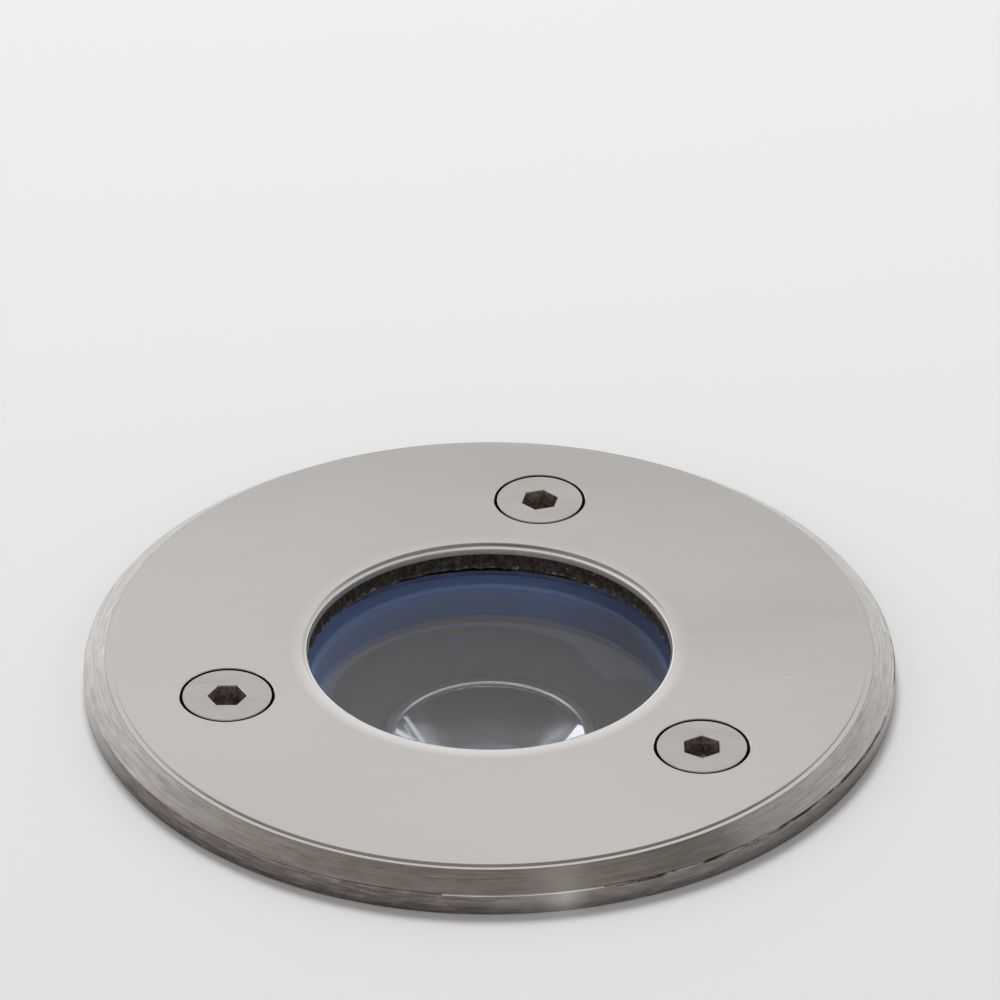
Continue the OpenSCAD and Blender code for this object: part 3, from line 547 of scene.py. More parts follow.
# Lamp holder: unglazed white steatite with two keyhole slots, screwed to a zinc plated strap that
# spans the pot. The lamp's headed pins twist into the slots against brass contacts.
steatite, shader, place = plain_finish("steatite", (0.8, 0.78, 0.73), 0.6)
tint(steatite, shader, grain(steatite, place, 1.2, 5),
     [(0.3, (0.7, 0.67, 0.6)), (0.5, (0.8, 0.78, 0.73)), (0.7, (0.84, 0.82, 0.78))])
bump(steatite, shader, grain(steatite, place, 0.4, 4), 0.03)
dress(["lamp_holder"], steatite)


# Reflector lamp: a blasted aluminium heat sink with cast fins on a white base with two pins. Its
# moulded lens gathers the light of a small board, and a dark metal ring with a painted bright lip
# holds the lens.
lamp_aluminium, shader, place = plain_finish("lamp aluminium", (0.6, 0.6, 0.6), 0.45, 1)
tint(lamp_aluminium, shader, grain(lamp_aluminium, place, 5, 4),
     [(0.35, (0.5, 0.5, 0.51)), (0.65, (0.66, 0.66, 0.65))])
bump(lamp_aluminium, shader, grain(lamp_aluminium, place, 0.25, 3), 0.02)
lens_r, lens_front_z = 13.55, -13.5
core = turn(soften([
    (0, -48), (13.4, -48), (17, -20.6, 1), (24, -20.6, 0.4), (25, -19.6, 0.4), (25, -15.6, 0.4),
    (24, -14.6, 0.3), (14.65, -14.6, 0.1), (14.65, -15.6), (13.5, -15.6), (6.9, -25), (6.9, -26.6),
    (0, -26.6),
]), 144)
fin = moved(
    plate([(12.3, -48), (15.9, -48), (24.6, -19.6), (15.8, -19.6)], -0.6, 0.6, 0.25),
    on_edge,
)
lamp_body = make_piece("lamp_finned_body", gather(core, all_round(fin, 24, 0, lamp_aluminium)),
                       lamp_aluminium, "lamp", ["lamp_heat_sink"])
cup_black, shader, place = plain_finish("cup black", (0.04, 0.04, 0.042), 0.5)
tint(cup_black, shader, grain(cup_black, place, 2, 3),
     [(0.35, (0.03, 0.03, 0.032)), (0.65, (0.05, 0.05, 0.053))])
lamp_body.data.materials.append(cup_black)
for face in lamp_body.data.polygons:
    if face.center.xy.length < lens_r * mm and -26.5 * mm < face.center.z < -15.5 * mm:
        face.material_index = 1

lamp_plastic, shader, place = plain_finish("lamp plastic", (0.8, 0.8, 0.78), 0.28)
tint(lamp_plastic, shader, grain(lamp_plastic, place, 8, 3),
     [(0.35, (0.76, 0.76, 0.73)), (0.65, (0.82, 0.82, 0.8))])
bump(lamp_plastic, shader, grain(lamp_plastic, place, 0.5, 2), 0.008)
dress(["lamp_base"], lamp_plastic)


def off_axis(finish, place, whole):
    """The distance from the light's axis, as a share of whole mm."""
    tree = finish.node_tree
    level = tree.nodes.new("ShaderNodeVectorMath")
    level.operation = "MULTIPLY"
    level.inputs[1].default_value = (1 / (whole * mm), 1 / (whole * mm), 0)
    tree.links.new(place, level.inputs[0])
    length = tree.nodes.new("ShaderNodeVectorMath")
    length.operation = "LENGTH"
    tree.links.new(level.outputs[0], length.inputs[0])
    return length.outputs["Value"]


board_ceramic, shader, place = plain_finish("board ceramic", (0.85, 0.84, 0.8), 0.4)
tint(board_ceramic, shader, off_axis(board_ceramic, place, 5),
     [(0.86, (0.85, 0.62, 0.1)), (0.9, (0.82, 0.82, 0.8))])
bump(board_ceramic, shader, grain(board_ceramic, place, 0.3, 2), 0.02)
dress(["led_board"], board_ceramic)

# Painted highlight: the bezel's inner lip is given white reflectance, so it shows as a thin bright
# line; the rest of the ring is dark.
chrome_with_painted_lip, shader, place = plain_finish("ring chrome", (0.3, 0.3, 0.3), 0.3, 1)
tint(chrome_with_painted_lip, shader, off_axis(chrome_with_painted_lip, place, 20),
     [(0.659, (1.0, 1.0, 1.0)), (0.662, (0.1, 0.1, 0.11))])
bump(chrome_with_painted_lip, shader, grain(chrome_with_painted_lip, place, 0.6, 3), 0.01)
make_piece("lens_bezel", turn(soften([
    (13.6, -15.6), (14.6, -15.6), (14.6, -13.1, 0.2), (13.2, -13.1, 0.03), (13.0, -13.3, 0.03),
    (13.0, -13.45), (13.6, -13.45),
]), 144), chrome_with_painted_lip, "lamp", ["lens_ring"])


def reckon(tree, how, *values):
    """One step of arithmetic on sockets or numbers."""
    step = tree.nodes.new("ShaderNodeMath")
    step.operation = how
    for socket, value in zip(step.inputs, values):
        if isinstance(value, (int, float)):
            socket.default_value = value
        else:
            tree.links.new(value, socket)
    return step.outputs[0]


def blend_colour(tree, share, under, over):
    """Lays one colour over another by a share of 0 to 1."""
    mix = tree.nodes.new("ShaderNodeMix")
    mix.data_type = "RGBA"
    tree.links.new(share, mix.inputs["Factor"])
    for socket, value in ((mix.inputs[6], under), (mix.inputs[7], over)):
        if isinstance(value, tuple):
            socket.default_value = (*value, 1)
        else:
            tree.links.new(value, socket)
    return mix.outputs[2]


def patch(finish, place, corners, soft=0.25):
    """1 inside a flat patch with these corners (x, y), in clockwise order, and 0 outside it."""
    tree = finish.node_tree
    inside = None
    for (x, y), (next_x, next_y) in zip(corners, corners[1:] + corners[:1]):
        inward = Vector((next_y - y, x - next_x)).normalized()
        along = tree.nodes.new("ShaderNodeVectorMath")
        along.operation = "DOT_PRODUCT"
        along.inputs[1].default_value = (inward.x / (soft * mm), inward.y / (soft * mm), 0)
        tree.links.new(place, along.inputs[0])
        depth = reckon(tree, "ADD", along.outputs["Value"], 0.5 - inward.dot(Vector((x, y))) / soft)
        inside = depth if inside is None else reckon(tree, "MINIMUM", inside, depth)
    return reckon(tree, "MAXIMUM", reckon(tree, "MINIMUM", inside, 1), 0)


lens_plastic, shader, place = plain_finish("lens plastic", (0.6, 0.62, 0.68), 0.16)
shader.inputs["Specular IOR Level"].default_value = 0.3
shader.inputs["IOR"].default_value = 1.49
tree = lens_plastic.node_tree
# Painted highlights: fixed bright patches on the lens stand in for glints. There the lens is
# whitened, made opaque and given emission, so the patches glow.
painted_right_glint = [(10.3, -0.6), (12.1, 3.3), (13.6, 2.4), (13.3, 1.2)]
painted_left_glints = (
    [(-14.1, 2.4), (-13.2, 3.0), (-10.2, -0.3), (-11.6, -0.1)],
    [(-11.8, 5.1), (-11.4, 5.3), (-8.9, -0.8), (-9.3, -0.9)],
)
painted_glints = patch(lens_plastic, place, painted_right_glint)
for corners in painted_left_glints:
    painted_glints = reckon(tree, "MAXIMUM", painted_glints,
                   reckon(tree, "MULTIPLY", patch(lens_plastic, place, corners, 0.6), 0.6))
lens_colour = bands(lens_plastic, grain(lens_plastic, place, 7, 2),
                    [(0.35, (0.7, 0.71, 0.76)), (0.65, (0.84, 0.89, 1.0))])
lens_colour = blend_colour(tree, bands(lens_plastic, off_axis(lens_plastic, place, 20),
                                       [(0.4, 0.0), (0.64, 0.85)]),
                           lens_colour, (0.28, 0.28, 0.31))
tree.links.new(blend_colour(tree, painted_glints, lens_colour, (0.97, 0.98, 1.0)),
               shader.inputs["Base Color"])
shader.inputs["Emission Color"].default_value = (0.9, 0.95, 1, 1)
tree.links.new(reckon(tree, "MULTIPLY", painted_glints, 0.6), shader.inputs["Emission Strength"])
tree.links.new(reckon(tree, "SUBTRACT", 1, painted_glints), shader.inputs["Transmission Weight"])
bump(lens_plastic, shader, grain(lens_plastic, place, 6, 2), 0.05)
make_piece("lamp_collimator", turn(soften([
    (0, -25), (6, -25, 0.3), (13.4, -15.6, 0.3), (lens_r, -15.3), (lens_r, lens_front_z, 0.15),
    (0, lens_front_z),
]), 144), lens_plastic, "lamp", ["lamp_lens"])


# Baffle: spun aluminium in blue grey paint. Its rim lies on the housing's ledge under the glass, a
# steep wall draws in below it, and a funnel leads down to the lamp's lens.
baffle_paint, shader, place = plain_finish("baffle paint", (0.2, 0.24, 0.3), 0.35)
tree = baffle_paint.node_tree
split = xyz_of(tree, place)
height = tree.nodes.new("ShaderNodeMapRange")
height.inputs["From Min"].default_value, height.inputs["From Max"].default_value = -13 * mm, -5 * mm
tree.links.new(split.outputs["Z"], height.inputs["Value"])
rise = height.outputs["Result"]
# The top stops paint the rim and its rounding a lighter blue: painted light against the shade under
# the ring.
paint = bands(baffle_paint, rise,
              [(0.1, (0.058, 0.06, 0.078)), (0.3, (0.048, 0.05, 0.066)),
               (0.46, (0.008, 0.008, 0.014)), (0.605, (0.012, 0.013, 0.02)),
               (0.615, (0.085, 0.185, 0.5)), (0.9, (0.105, 0.265, 0.68)),
               (0.97, (0.16, 0.36, 0.85)), (1.0, (0.3, 0.5, 1.0))])
# Painted light: the rim top under the ring glows faintly blue, standing in for light that reaches it
# through the thick glass.
painted_rim_glow = bands(baffle_paint, rise, [(0.94, 0.0), (0.998, 0.055)])
tree.links.new(painted_rim_glow, shader.inputs["Emission Strength"])
shader.inputs["Emission Color"].default_value = (0.42, 0.56, 1, 1)
# Painted reflection: a lighter streak with a wavy edge at the top of the funnel, strongest on the
# right.
turned = reckon(tree, "DIVIDE", reckon(tree, "ARCTAN2", split.outputs["Y"], split.outputs["X"]),
                math.pi)
wave_depth = bands(baffle_paint, turned, [(0.09, 0.0), (0.17, 0.28), (0.23, 0.3), (0.31, 0.17),
                                          (0.5, 0.12), (0.9, 0.05)])
wave_edge = reckon(tree, "MULTIPLY_ADD", wave_depth, -1, 0.6125)
above_edge = reckon(
    tree, "MULTIPLY_ADD", reckon(tree, "SUBTRACT", rise, wave_edge), 12, 0.5)
painted_reflection = reckon(tree, "MULTIPLY", reckon(tree, "LESS_THAN", rise, 0.61),
              bands(baffle_paint, above_edge, [(0.3, 0.0), (0.7, 1.0)]))
paint = blend_colour(tree, painted_reflection, paint, (0.11, 0.14, 0.215))
# Painted shade: the baffle's colour darkens towards the right side.
painted_right_shade = bands(baffle_paint, reckon(tree, "MULTIPLY", split.outputs["X"], 1 / (25 * mm)),
              [(0.3, 0.0), (0.75, 0.7)])
tree.links.new(blend_colour(tree, painted_right_shade, paint, (0.02, 0.022, 0.03)), shader.inputs["Base Color"])
shader.inputs["Specular IOR Level"].default_value = 0.04
sheen(baffle_paint, shader, grain(baffle_paint, place, 4, 3, (3, 3, 0.15)), 0.28, 0.42)
bump(baffle_paint, shader, grain(baffle_paint, place, 2, 1), 0.01)
baffle_r, baffle_top_z, funnel_mouth_r = 27.8, -5, 14.9
make_piece("baffle_spinning", turn(soften([
    (baffle_r, baffle_top_z, 0.2), (24.4, baffle_top_z, 1.1), (23.6, -6.3, 0.3),
    (23.45, -6.5, 0.2), (22.5, -8.1, 0.35), (funnel_mouth_r, -13.1, 0.1),
    (funnel_mouth_r, -14.3, 0.1), (23.1, -9.3, 0.4), (25.6, ledge_z, 0.4), (baffle_r, ledge_z, 0.2),
])), baffle_paint, "light", ["baffle"])


# Glass and its two silicone gaskets: toughened glass, 6 mm thick, with ground edges. The lower
# gasket lies on the housing's ledge. The upper one was squeezed as the ring was screwed down, so
# its inner edge is a little ragged.
black_silicone, shader, place = plain_finish("black silicone", (0.012, 0.011, 0.01), 0.22)
shader.inputs["Specular IOR Level"].default_value = 0.2
tree = black_silicone.node_tree
split = xyz_of(tree, place)
near_glass = bands(
    black_silicone, reckon(tree, "MULTIPLY", split.outputs["Z"], 1 / (4 * mm)),
    [(0.38, 0.11), (0.5, 0.0)],
)
tint(black_silicone, shader,
     reckon(tree, "ADD", grain(black_silicone, place, 0.6, 5, roughness=0.75), near_glass),
     [(0.4, (0.016, 0.012, 0.009)), (0.62, (0.08, 0.064, 0.053)), (0.72, (0.5, 0.46, 0.43))])
sheen(black_silicone, shader, grain(black_silicone, place, 2.5, 4), 0.16, 0.34)
bump(black_silicone, shader, grain(black_silicone, place, 2, 3), 0.03)
blue_silicone, shader, place = plain_finish("blue silicone", (0.4, 0.5, 0.7), 0.5)
tint(blue_silicone, shader, grain(blue_silicone, place, 3, 4),
     [(0.35, (0.34, 0.43, 0.62)), (0.65, (0.46, 0.56, 0.78))])
bump(blue_silicone, shader, grain(blue_silicone, place, 0.6, 3), 0.02)
glass_r, glass_top_z, glass_low_z = 30, 1.4, -4.6
lower_gasket_in_r, upper_gasket_in_r, lip_z = 28, 24.9, 3.8
make_piece("lower_gasket_ring", turn(soften([
    (lower_gasket_in_r, ledge_z, 0.2), (glass_r, ledge_z, 0.2), (glass_r, glass_low_z, 0.2),
    (lower_gasket_in_r, glass_low_z, 0.2),
])), blue_silicone, "light", ["lower_gasket"])
gasket = turn(soften([
    (upper_gasket_in_r, glass_top_z, 0.2), (glass_r, glass_top_z, 0.2), (glass_r, lip_z, 0.2),
    (upper_gasket_in_r, lip_z, 0.3),
]), 384)
for vert in gasket.verts:
    r = vert.co.xy.length / mm
    if r < 27:
        a = math.atan2(vert.co.y, vert.co.x)
        lowness = max(0, (2.3 - vert.co.z / mm) / 0.9)
        ragged = 0.16 * math.sin(41 * a + 2 * math.sin(7 * a)) + 0.13 * math.sin(97 * a + 1.3)
        vert.co.xy *= (r - lowness * max(0, 0.15 + ragged)) / r
make_piece("upper_gasket_ring", gasket, black_silicone, "cover", ["upper_gasket"],
           40)

front_glass, shader, place = plain_finish("front glass", (0.93, 0.95, 0.98), 0.0)
shader.inputs["Transmission Weight"].default_value = 1
shader.inputs["IOR"].default_value = 1.52
shader.inputs["Specular Tint"].default_value = (0.62, 0.64, 0.67, 1)
make_piece("glass_disc", turn(soften([
    (0, glass_low_z), (glass_r, glass_low_z, 0.5), (glass_r, glass_top_z, 0.5), (0, glass_top_z),
]), 192), front_glass, "cover", ["glass_lens"])


# Trim ring: stainless steel, turned from plate. The top is polished to a soft shine with a faint
# straight grain, and the bevel and the rim keep the tool's fine rings and some stains. Three
# countersinks take the screws.
ring_steel, shader, place = plain_finish("ring steel", (0.6, 0.58, 0.55), 0.2, 1)
tree = ring_steel.node_tree
split = xyz_of(tree, place)
radius = off_axis(ring_steel, place, 1)
angle = reckon(tree, "ARCTAN2", split.outputs["Y"], split.outputs["X"])
level = reckon(tree, "MULTIPLY", split.outputs["Z"], 1 / mm)


def round_the_ring(tree, along, out, upright, detail, roughness):
    """Noise that runs round the ring: lumps for each radian, and for each mm outwards and up."""
    ringwise = tree.nodes.new("ShaderNodeCombineXYZ")
    for axis, value, scale in (("X", angle, along), ("Y", radius, out), ("Z", level, upright)):
        tree.links.new(reckon(tree, "MULTIPLY", value, scale), ringwise.inputs[axis])
    return noise_over(tree, ringwise.outputs[0], detail, roughness)


tool_rings = round_the_ring(tree, 4, 9, 9, 5, 0.65)
stains = round_the_ring(tree, 14, 0.8, 2.2, 7, 0.68)
on_bevel = reckon(tree, "GREATER_THAN", radius, 52)
in_opening = reckon(tree, "LESS_THAN", radius, 24.66)
frontwards = reckon(tree, "DIVIDE", split.outputs["Y"], reckon(tree, "MULTIPLY", radius, -mm))
sideways = reckon(tree, "DIVIDE", split.outputs["X"], reckon(tree, "MULTIPLY", radius, mm))
across = reckon(tree, "MULTIPLY_ADD", sideways, 0.5, 0.5)


def near(tree, value, middle, reach):
    """1 where a value is within reach of the middle, and 0 elsewhere."""
    away = reckon(tree, "ABSOLUTE", reckon(tree, "SUBTRACT", value, middle))
    return reckon(tree, "LESS_THAN", away, reach)


# Painted highlight: in a narrow zone at the front, the bevel's colour reaches lower over the band and
# is painted with a bright streak below.
painted_streak_zone = reckon(tree, "MULTIPLY", near(tree, sideways, 0.08, 0.19),
                 reckon(tree, "GREATER_THAN", frontwards, 0))
band_top = reckon(tree, "MULTIPLY_ADD", painted_streak_zone, -0.2, 3.12)
on_band = reckon(tree, "MULTIPLY", on_bevel, reckon(tree, "LESS_THAN", level, band_top))
polish = grain(ring_steel, place, 22, 3, (2.5, 1, 1))
straight = grain(ring_steel, place, 0.5, 3, (40, 1, 1))

top_colour = bands(ring_steel, polish, [(0.3, (0.66, 0.643, 0.628)), (0.7, (0.72, 0.703, 0.688))])
bevel_colour = bands(
    ring_steel,
    reckon(tree, "ADD", reckon(tree, "MULTIPLY", tool_rings, 0.6),
           reckon(tree, "MULTIPLY", stains, 0.4)),
    [(0.38, (0.44, 0.41, 0.385)), (0.5, (0.62, 0.598, 0.58)), (0.62, (0.78, 0.76, 0.74))])
band_colour = bands(ring_steel, stains,
                    [(0.34, (0.09, 0.072, 0.064)), (0.5, (0.17, 0.146, 0.133)),
                     (0.66, (0.3, 0.268, 0.25))])
# Painted highlight: the band is lightened at the sides and rear, and at two places round it, where it
# would catch light.
painted_band_gleam = reckon(
    tree, "MAXIMUM", bands(ring_steel, frontwards, [(0.2, 0.85), (0.5, 0.05)]),
    bands(ring_steel, across, [(0.4, 0.0), (0.5, 0.12), (0.56, 0.35), (0.59, 0.85), (0.62, 0.2),
                               (0.93, 0.17)]))
band_colour = blend_colour(tree, painted_band_gleam, band_colour, (0.58, 0.55, 0.53))
# Two marks on the front of the bevel: a painted highlight streak, near white, and a darker patch
# towards the front right.
for stops, mark in (
    ([(0.54, 0.0), (0.58, 0.6), (0.595, 0.6), (0.63, 0.0)], (1.0, 0.99, 0.98)),
    ([(0.64, 0.0), (0.72, 0.4), (0.78, 0.4), (0.82, 0.0)], (0.2, 0.17, 0.15)),
):
    marked = reckon(tree, "MULTIPLY", reckon(tree, "GREATER_THAN", frontwards, 0.5),
                    bands(ring_steel, across, stops))
    bevel_colour = blend_colour(tree, marked, bevel_colour, mark)
edge_stain = reckon(
    tree, "MULTIPLY", bands(ring_steel, stains, [(0.48, 0.9), (0.54, 0.0)]),
    reckon(tree, "MULTIPLY", near(tree, level, 2.95, 0.2),
           reckon(tree, "GREATER_THAN", sideways, 0.3)))
band_colour = blend_colour(tree, edge_stain, band_colour, (0.03, 0.022, 0.018))
# Painted shade: the step's upright face is darkened at the front only.
painted_step_shade = reckon(
    tree, "MULTIPLY",
    reckon(tree, "MULTIPLY", reckon(tree, "GREATER_THAN", level, 5.07),
           reckon(tree, "LESS_THAN", level, 5.27)),
    reckon(tree, "MULTIPLY", reckon(tree, "GREATER_THAN", radius, 51),
           bands(ring_steel, frontwards, [(0.55, 0.0), (0.75, 0.6)])))
steel_colour = blend_colour(tree, on_bevel, top_colour, bevel_colour)
steel_colour = blend_colour(tree, painted_step_shade, steel_colour, (0.05, 0.043, 0.038))
# Painted highlight: the ring near the opening is whitened, most at the front, as a bright edge line.
painted_opening_highlight = reckon(
    tree, "MULTIPLY", bands(ring_steel, frontwards, [(0.0, 0.25), (0.5, 1.0)]),
    bands(ring_steel, reckon(tree, "MULTIPLY_ADD", radius, 0.2, -4.9), [(0.1, 1.0), (0.55, 0.0)]))
steel_colour = blend_colour(tree, painted_opening_highlight, steel_colour, (0.98, 0.97, 0.96))
tree.links.new(blend_colour(tree, on_band, steel_colour, band_colour),
               shader.inputs["Base Color"])
tree.links.new(
    reckon(tree, "MULTIPLY_ADD", in_opening, 0.35,
           reckon(tree, "MULTIPLY_ADD", on_bevel, 0.16,
                  reckon(tree, "MULTIPLY_ADD", polish, 0.08, 0.09))),
    shader.inputs["Roughness"],
)
bump(ring_steel, shader, straight, 0.0025)
bump(ring_steel, shader, reckon(tree, "MULTIPLY", on_bevel, tool_rings), 0.03)

ring_r, band_top_z, ring_top_z, opening_r, ring_pocket_r = 55, 3, 5.3, 24.6, 30.3
shoulder_r, shoulder_z, flat_r, recess_r = 52.05, 5.05, 51.2, 48
ring = turn(soften([
    (recess_r, 0), (ring_r, 0, 0.3), (ring_r, band_top_z, 0.35), (shoulder_r, shoulder_z, 0.3),
    (flat_r, shoulder_z), (flat_r, ring_top_z, 0.08), (26.2, ring_top_z),
    (opening_r, ring_top_z, 0.8), (opening_r, lip_z, 0.15), (ring_pocket_r, lip_z),
    (ring_pocket_r, flange_top_z), (recess_r, flange_top_z),
]), 288)
countersinks = [
    moved(turn([(0, -1), (4.25, -1), (4.25, 3.1), (6.38, 4.75), (6.38, 5.2), (6.5, 5.33),
                (6.5, 7), (0, 7)], 96), at_screw(angle))
    for angle in screw_angles.values()
]
trim_ring = make_piece("ring_turning", cut_away(ring, gather(*countersinks)), ring_steel, "cover",
                       ["trim_ring"])
# Painted shade: the countersink walls round each screw head get a near-black steel, so the gaps look
# dark.
painted_gap_shade, shader, place = plain_finish("gap steel", (0.05, 0.043, 0.038), 0.5, 1)
tint(painted_gap_shade, shader, grain(painted_gap_shade, place, 0.8, 4),
     [(0.35, (0.02, 0.017, 0.015)), (0.7, (0.08, 0.07, 0.06))])
trim_ring.data.materials.append(painted_gap_shade)


def within(face, mesh, centre, reach):
    """Whether all corners of a face are within reach of an upright line."""
    return all((mesh.vertices[i].co - centre).xy.length < reach * mm for i in face.vertices)


for face in trim_ring.data.polygons:
    if any(within(face, trim_ring.data, at_screw(angle).translation, 6.46)
           for angle in screw_angles.values()):
        face.material_index = 1


# Cover screws: M6 countersunk socket screws in stainless steel, each with a sealing ring under its
# head. The heads are faced and polished with the ring, the sockets are broached, and the shanks
# have a rolled thread.
screw_steel, shader, place = plain_finish("screw steel", (0.62, 0.6, 0.58), 0.2, 1)
tint(screw_steel, shader, grain(screw_steel, place, 2.5, 4, (3, 1, 1)),
     [(0.35, (0.64, 0.625, 0.605)), (0.65, (0.69, 0.675, 0.66))])
sheen(screw_steel, shader, grain(screw_steel, place, 1.6, 3), 0.2, 0.24)
bump(screw_steel, shader, grain(screw_steel, place, 0.4, 3, (8, 1, 1)), 0.003)
socket_steel, shader, place = plain_finish("socket steel", (0.2, 0.16, 0.13), 0.5, 0.3)
tint(socket_steel, shader, grain(socket_steel, place, 0.5, 4),
     [(0.35, (0.1, 0.075, 0.06)), (0.7, (0.4, 0.32, 0.27))])
bump(socket_steel, shader, grain(socket_steel, place, 0.4, 3), 0.03)


def screw_tree():
    """A rolled thread: a ridge that winds up the shank."""
    tree = bpy.data.node_groups.new("rolled thread", "GeometryNodeTree")
    for label in ("Turns", "Pitch", "Root radius", "Low end"):
        tree.interface.new_socket(label, in_out="INPUT", socket_type="NodeSocketFloat")
    tree.interface.new_socket("Finish", in_out="INPUT", socket_type="NodeSocketMaterial")
    tree.interface.new_socket("Thread", in_out="OUTPUT", socket_type="NodeSocketGeometry")
    given = tree.nodes.new("NodeGroupInput")
    winding = tree.nodes.new("GeometryNodeCurveSpiral")
    winding.inputs["Resolution"].default_value = 36
    tree.links.new(given.outputs["Turns"], winding.inputs["Rotations"])
    for socket in ("Start Radius", "End Radius"):
        tree.links.new(given.outputs["Root radius"], winding.inputs[socket])
    tree.links.new(reckon(tree, "MULTIPLY", given.outputs["Turns"], given.outputs["Pitch"]),
                   winding.inputs["Height"])
    ridge = tree.nodes.new("GeometryNodeCurvePrimitiveCircle")
    ridge.inputs["Resolution"].default_value = 4
    tree.links.new(reckon(tree, "MULTIPLY", given.outputs["Pitch"], 0.46), ridge.inputs["Radius"])
    swept = tree.nodes.new("GeometryNodeCurveToMesh")
    swept.inputs["Fill Caps"].default_value = True
    tree.links.new(winding.outputs["Curve"], swept.inputs["Curve"])
    tree.links.new(ridge.outputs["Curve"], swept.inputs["Profile Curve"])
    lift = tree.nodes.new("ShaderNodeCombineXYZ")
    tree.links.new(given.outputs["Low end"], lift.inputs["Z"])
    raised = tree.nodes.new("GeometryNodeTransform")
    tree.links.new(swept.outputs["Mesh"], raised.inputs["Geometry"])
    tree.links.new(lift.outputs[0], raised.inputs["Translation"])
    real = tree.nodes.new("GeometryNodeRealizeInstances")
    tree.links.new(raised.outputs["Geometry"], real.inputs["Geometry"])
    dressed = tree.nodes.new("GeometryNodeSetMaterial")
    tree.links.new(real.outputs["Geometry"], dressed.inputs["Geometry"])
    tree.links.new(given.outputs["Finish"], dressed.inputs["Material"])
    result = tree.nodes.new("NodeGroupOutput")
    tree.links.new(dressed.outputs["Geometry"], result.inputs["Thread"])
    return tree


rolled_thread = screw_tree()


def thread(turns, pitch, root_r, low_z, finish):
    """A shell of the rolled thread, whose low end is at low_z."""
    carrier = bpy.data.objects.new("carrier", bpy.data.meshes.new("carrier"))
    bpy.context.scene.collection.objects.link(carrier)
    winding = carrier.modifiers.new("thread", "NODES")
    winding.node_group = rolled_thread
    wanted = {"Turns": float(turns), "Pitch": pitch * mm, "Root radius": root_r * mm,
              "Low end": low_z * mm, "Finish": finish}
    for item in rolled_thread.interface.items_tree:
        if item.name in wanted:
            winding[item.identifier] = wanted[item.name]
    take_mesh(carrier, winding)
    result = bmesh.new()
    result.from_mesh(carrier.data)
    bmesh.ops.recalc_face_normals(result, faces=result.faces)
    bpy.data.objects.remove(carrier)
    return result


head_r, head_top_z, tip_z = 6, 5.25, -14.75
socket_z, socket_af, socket_ease = 2.85, 4.6, 0.1
seal_r, seal_wire_r, seal_z = 3.6, 0.55, 1.15
for side, hex_turn in (("left", 0), ("right", 30), ("rear", 17)):
    blank = turn(soften([
        (0, tip_z), (1.9, tip_z, 0.1), (2.6, tip_z + 0.8, 0.1), (2.6, 0.4), (3, 0.9), (3, 1.9, 0.2),
        (head_r, 4.9, 0.1), (head_r, head_top_z, 0.12), (0, head_top_z),
    ]), 96)
    corner_r = socket_af / 2 / math.cos(math.pi / 6)
    broach = turn([(0, socket_z), (corner_r, socket_z), (corner_r, head_top_z - socket_ease),
                   (corner_r + 4 * socket_ease, head_top_z + 3 * socket_ease),
                   (0, head_top_z + 3 * socket_ease)], 6)
    angle = screw_angles[side]
    blank = cut_away(blank, moved(broach, Matrix.Rotation(math.radians(hex_turn - angle), 4, "Z")))
    screw = gather(blank, thread(14, 1, 2.58, tip_z + 0.7, screw_steel))
    screw.transform(at_screw(angle))
    piece = make_piece(side + "_cover_screw", screw, screw_steel, side + "_screw",
                       [side + "_screw"])
    piece.data.materials.append(socket_steel)
    for face in piece.data.polygons:
        deep = (socket_z - 0.05) * mm < face.center.z < (head_top_z - socket_ease) * mm
        if deep and within(face, piece.data, at_screw(angle).translation, corner_r + 0.01):
            face.material_index = 1
    wire = [(seal_r + seal_wire_r * math.cos(a), seal_z + seal_wire_r * math.sin(a))
            for a in (math.tau * k / 16 for k in range(16))]
    make_piece(side + "_sealing_ring", moved(turn(wire, 48), at_screw(angle)), seal_rubber,
               side + "_screw_ring", [side + "_screw_seal"])


# The ground is a thin pale slab with a drilled hole, which fills the photograph's view. The floor
# below it is where the sleeve stands, for views from the side.
ground_paint, shader, place = plain_finish("ground paint", (0.88, 0.88, 0.88), 0.7)
slab = plate([(-66, -76), (66, -76), (84, 205), (-84, 205)], -3, 0)
slab = cut_away(slab, turn([(0, -5), (47.6, -5), (47.6, 1), (0, 1)], 192))
slab = make_piece("ground_slab", slab, ground_paint, None)
floor_r, floor_low_z = 4000, -133
floor = make_piece("floor", turn([(0, floor_low_z), (floor_r, floor_low_z), (floor_r, foot_z),
                                  (0, foot_z)], 64), ground_paint, None)


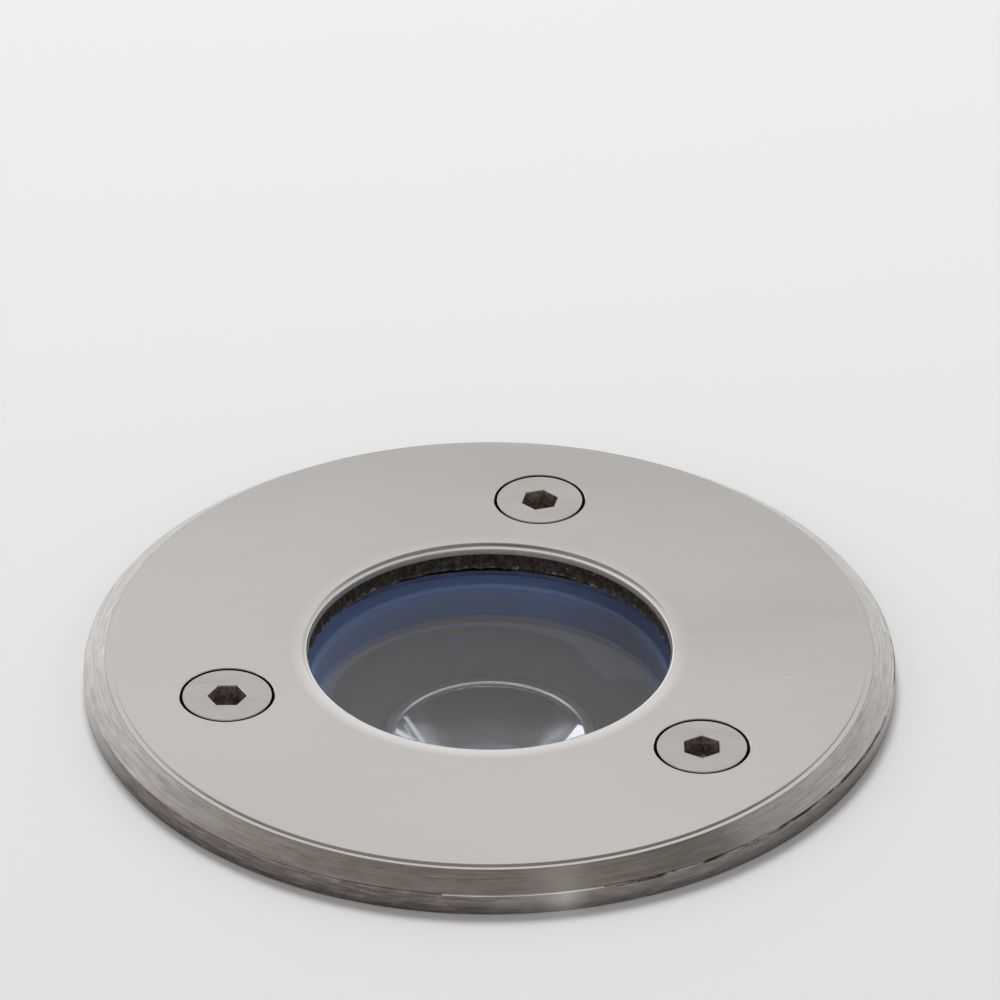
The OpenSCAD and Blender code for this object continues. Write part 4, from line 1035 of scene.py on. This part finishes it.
# Soft studio light: a pale tent, brightest at the floor and dim and warm overhead, which gives the
# polished ring its tones, and one wide lamp high behind the light. The camera sees plain white.
world = bpy.data.worlds.new("tent")
bpy.context.scene.world = world
world.use_nodes = True
tree = world.node_tree
backdrop = tree.nodes["Background"]
place = tree.nodes.new("ShaderNodeTexCoord")
split = xyz_of(tree, place.outputs["Generated"])
near_middle = reckon(tree, "MINIMUM", reckon(tree, "MAXIMUM", split.outputs["X"], -0.08), 0.08)
tent = bands(world, reckon(tree, "MULTIPLY_ADD", near_middle, -0.25, split.outputs["Z"]), [
    (0.0, 1.5), (0.08, 1.1), (0.14, (0.98, 0.98, 0.97)), (0.27, (0.88, 0.875, 0.865)),
    (0.41, (0.77, 0.755, 0.745)), (0.5, (0.6, 0.585, 0.57)), (0.54, (0.62, 0.605, 0.595)),
    (0.572, (0.94, 0.915, 0.905)), (0.59, (0.8, 0.785, 0.77)), (0.66, (0.5, 0.475, 0.455)),
    (0.76, (0.28, 0.255, 0.23)), (0.95, (0.26, 0.232, 0.205)), (1.0, (0.1, 0.088, 0.078)),
])
grey = tree.nodes.new("ShaderNodeRGBToBW")
tree.links.new(tent, grey.inputs[0])
seen = tree.nodes.new("ShaderNodeLightPath")
tent = blend_colour(tree, seen.outputs["Is Glossy Ray"], grey.outputs[0], tent)
tree.links.new(blend_colour(tree, seen.outputs["Is Camera Ray"], tent, (1.0, 1.0, 1.0)),
               backdrop.inputs["Color"])
rightwards = reckon(tree, "MULTIPLY_ADD", split.outputs["X"], 0.5, 0.5)
tree.links.new(
    reckon(tree, "MAXIMUM", seen.outputs["Is Camera Ray"],
           bands(world, rightwards, [(0.52, 1.0), (0.72, 0.78)])),
    backdrop.inputs["Strength"],
)

lamp = bpy.data.objects.new("wide lamp", bpy.data.lights.new("wide lamp", "AREA"))
bpy.context.scene.collection.objects.link(lamp)
lamp.data.shape, lamp.data.size, lamp.data.energy = "DISK", 0.6, 11
lamp.location = (-0.1, 0.7, 1.2)
lamp.visible_glossy = False
lamp.rotation_euler = (-lamp.location).to_track_quat("-Z", "Y").to_euler()

bpy.context.scene.view_settings.view_transform = "Standard"
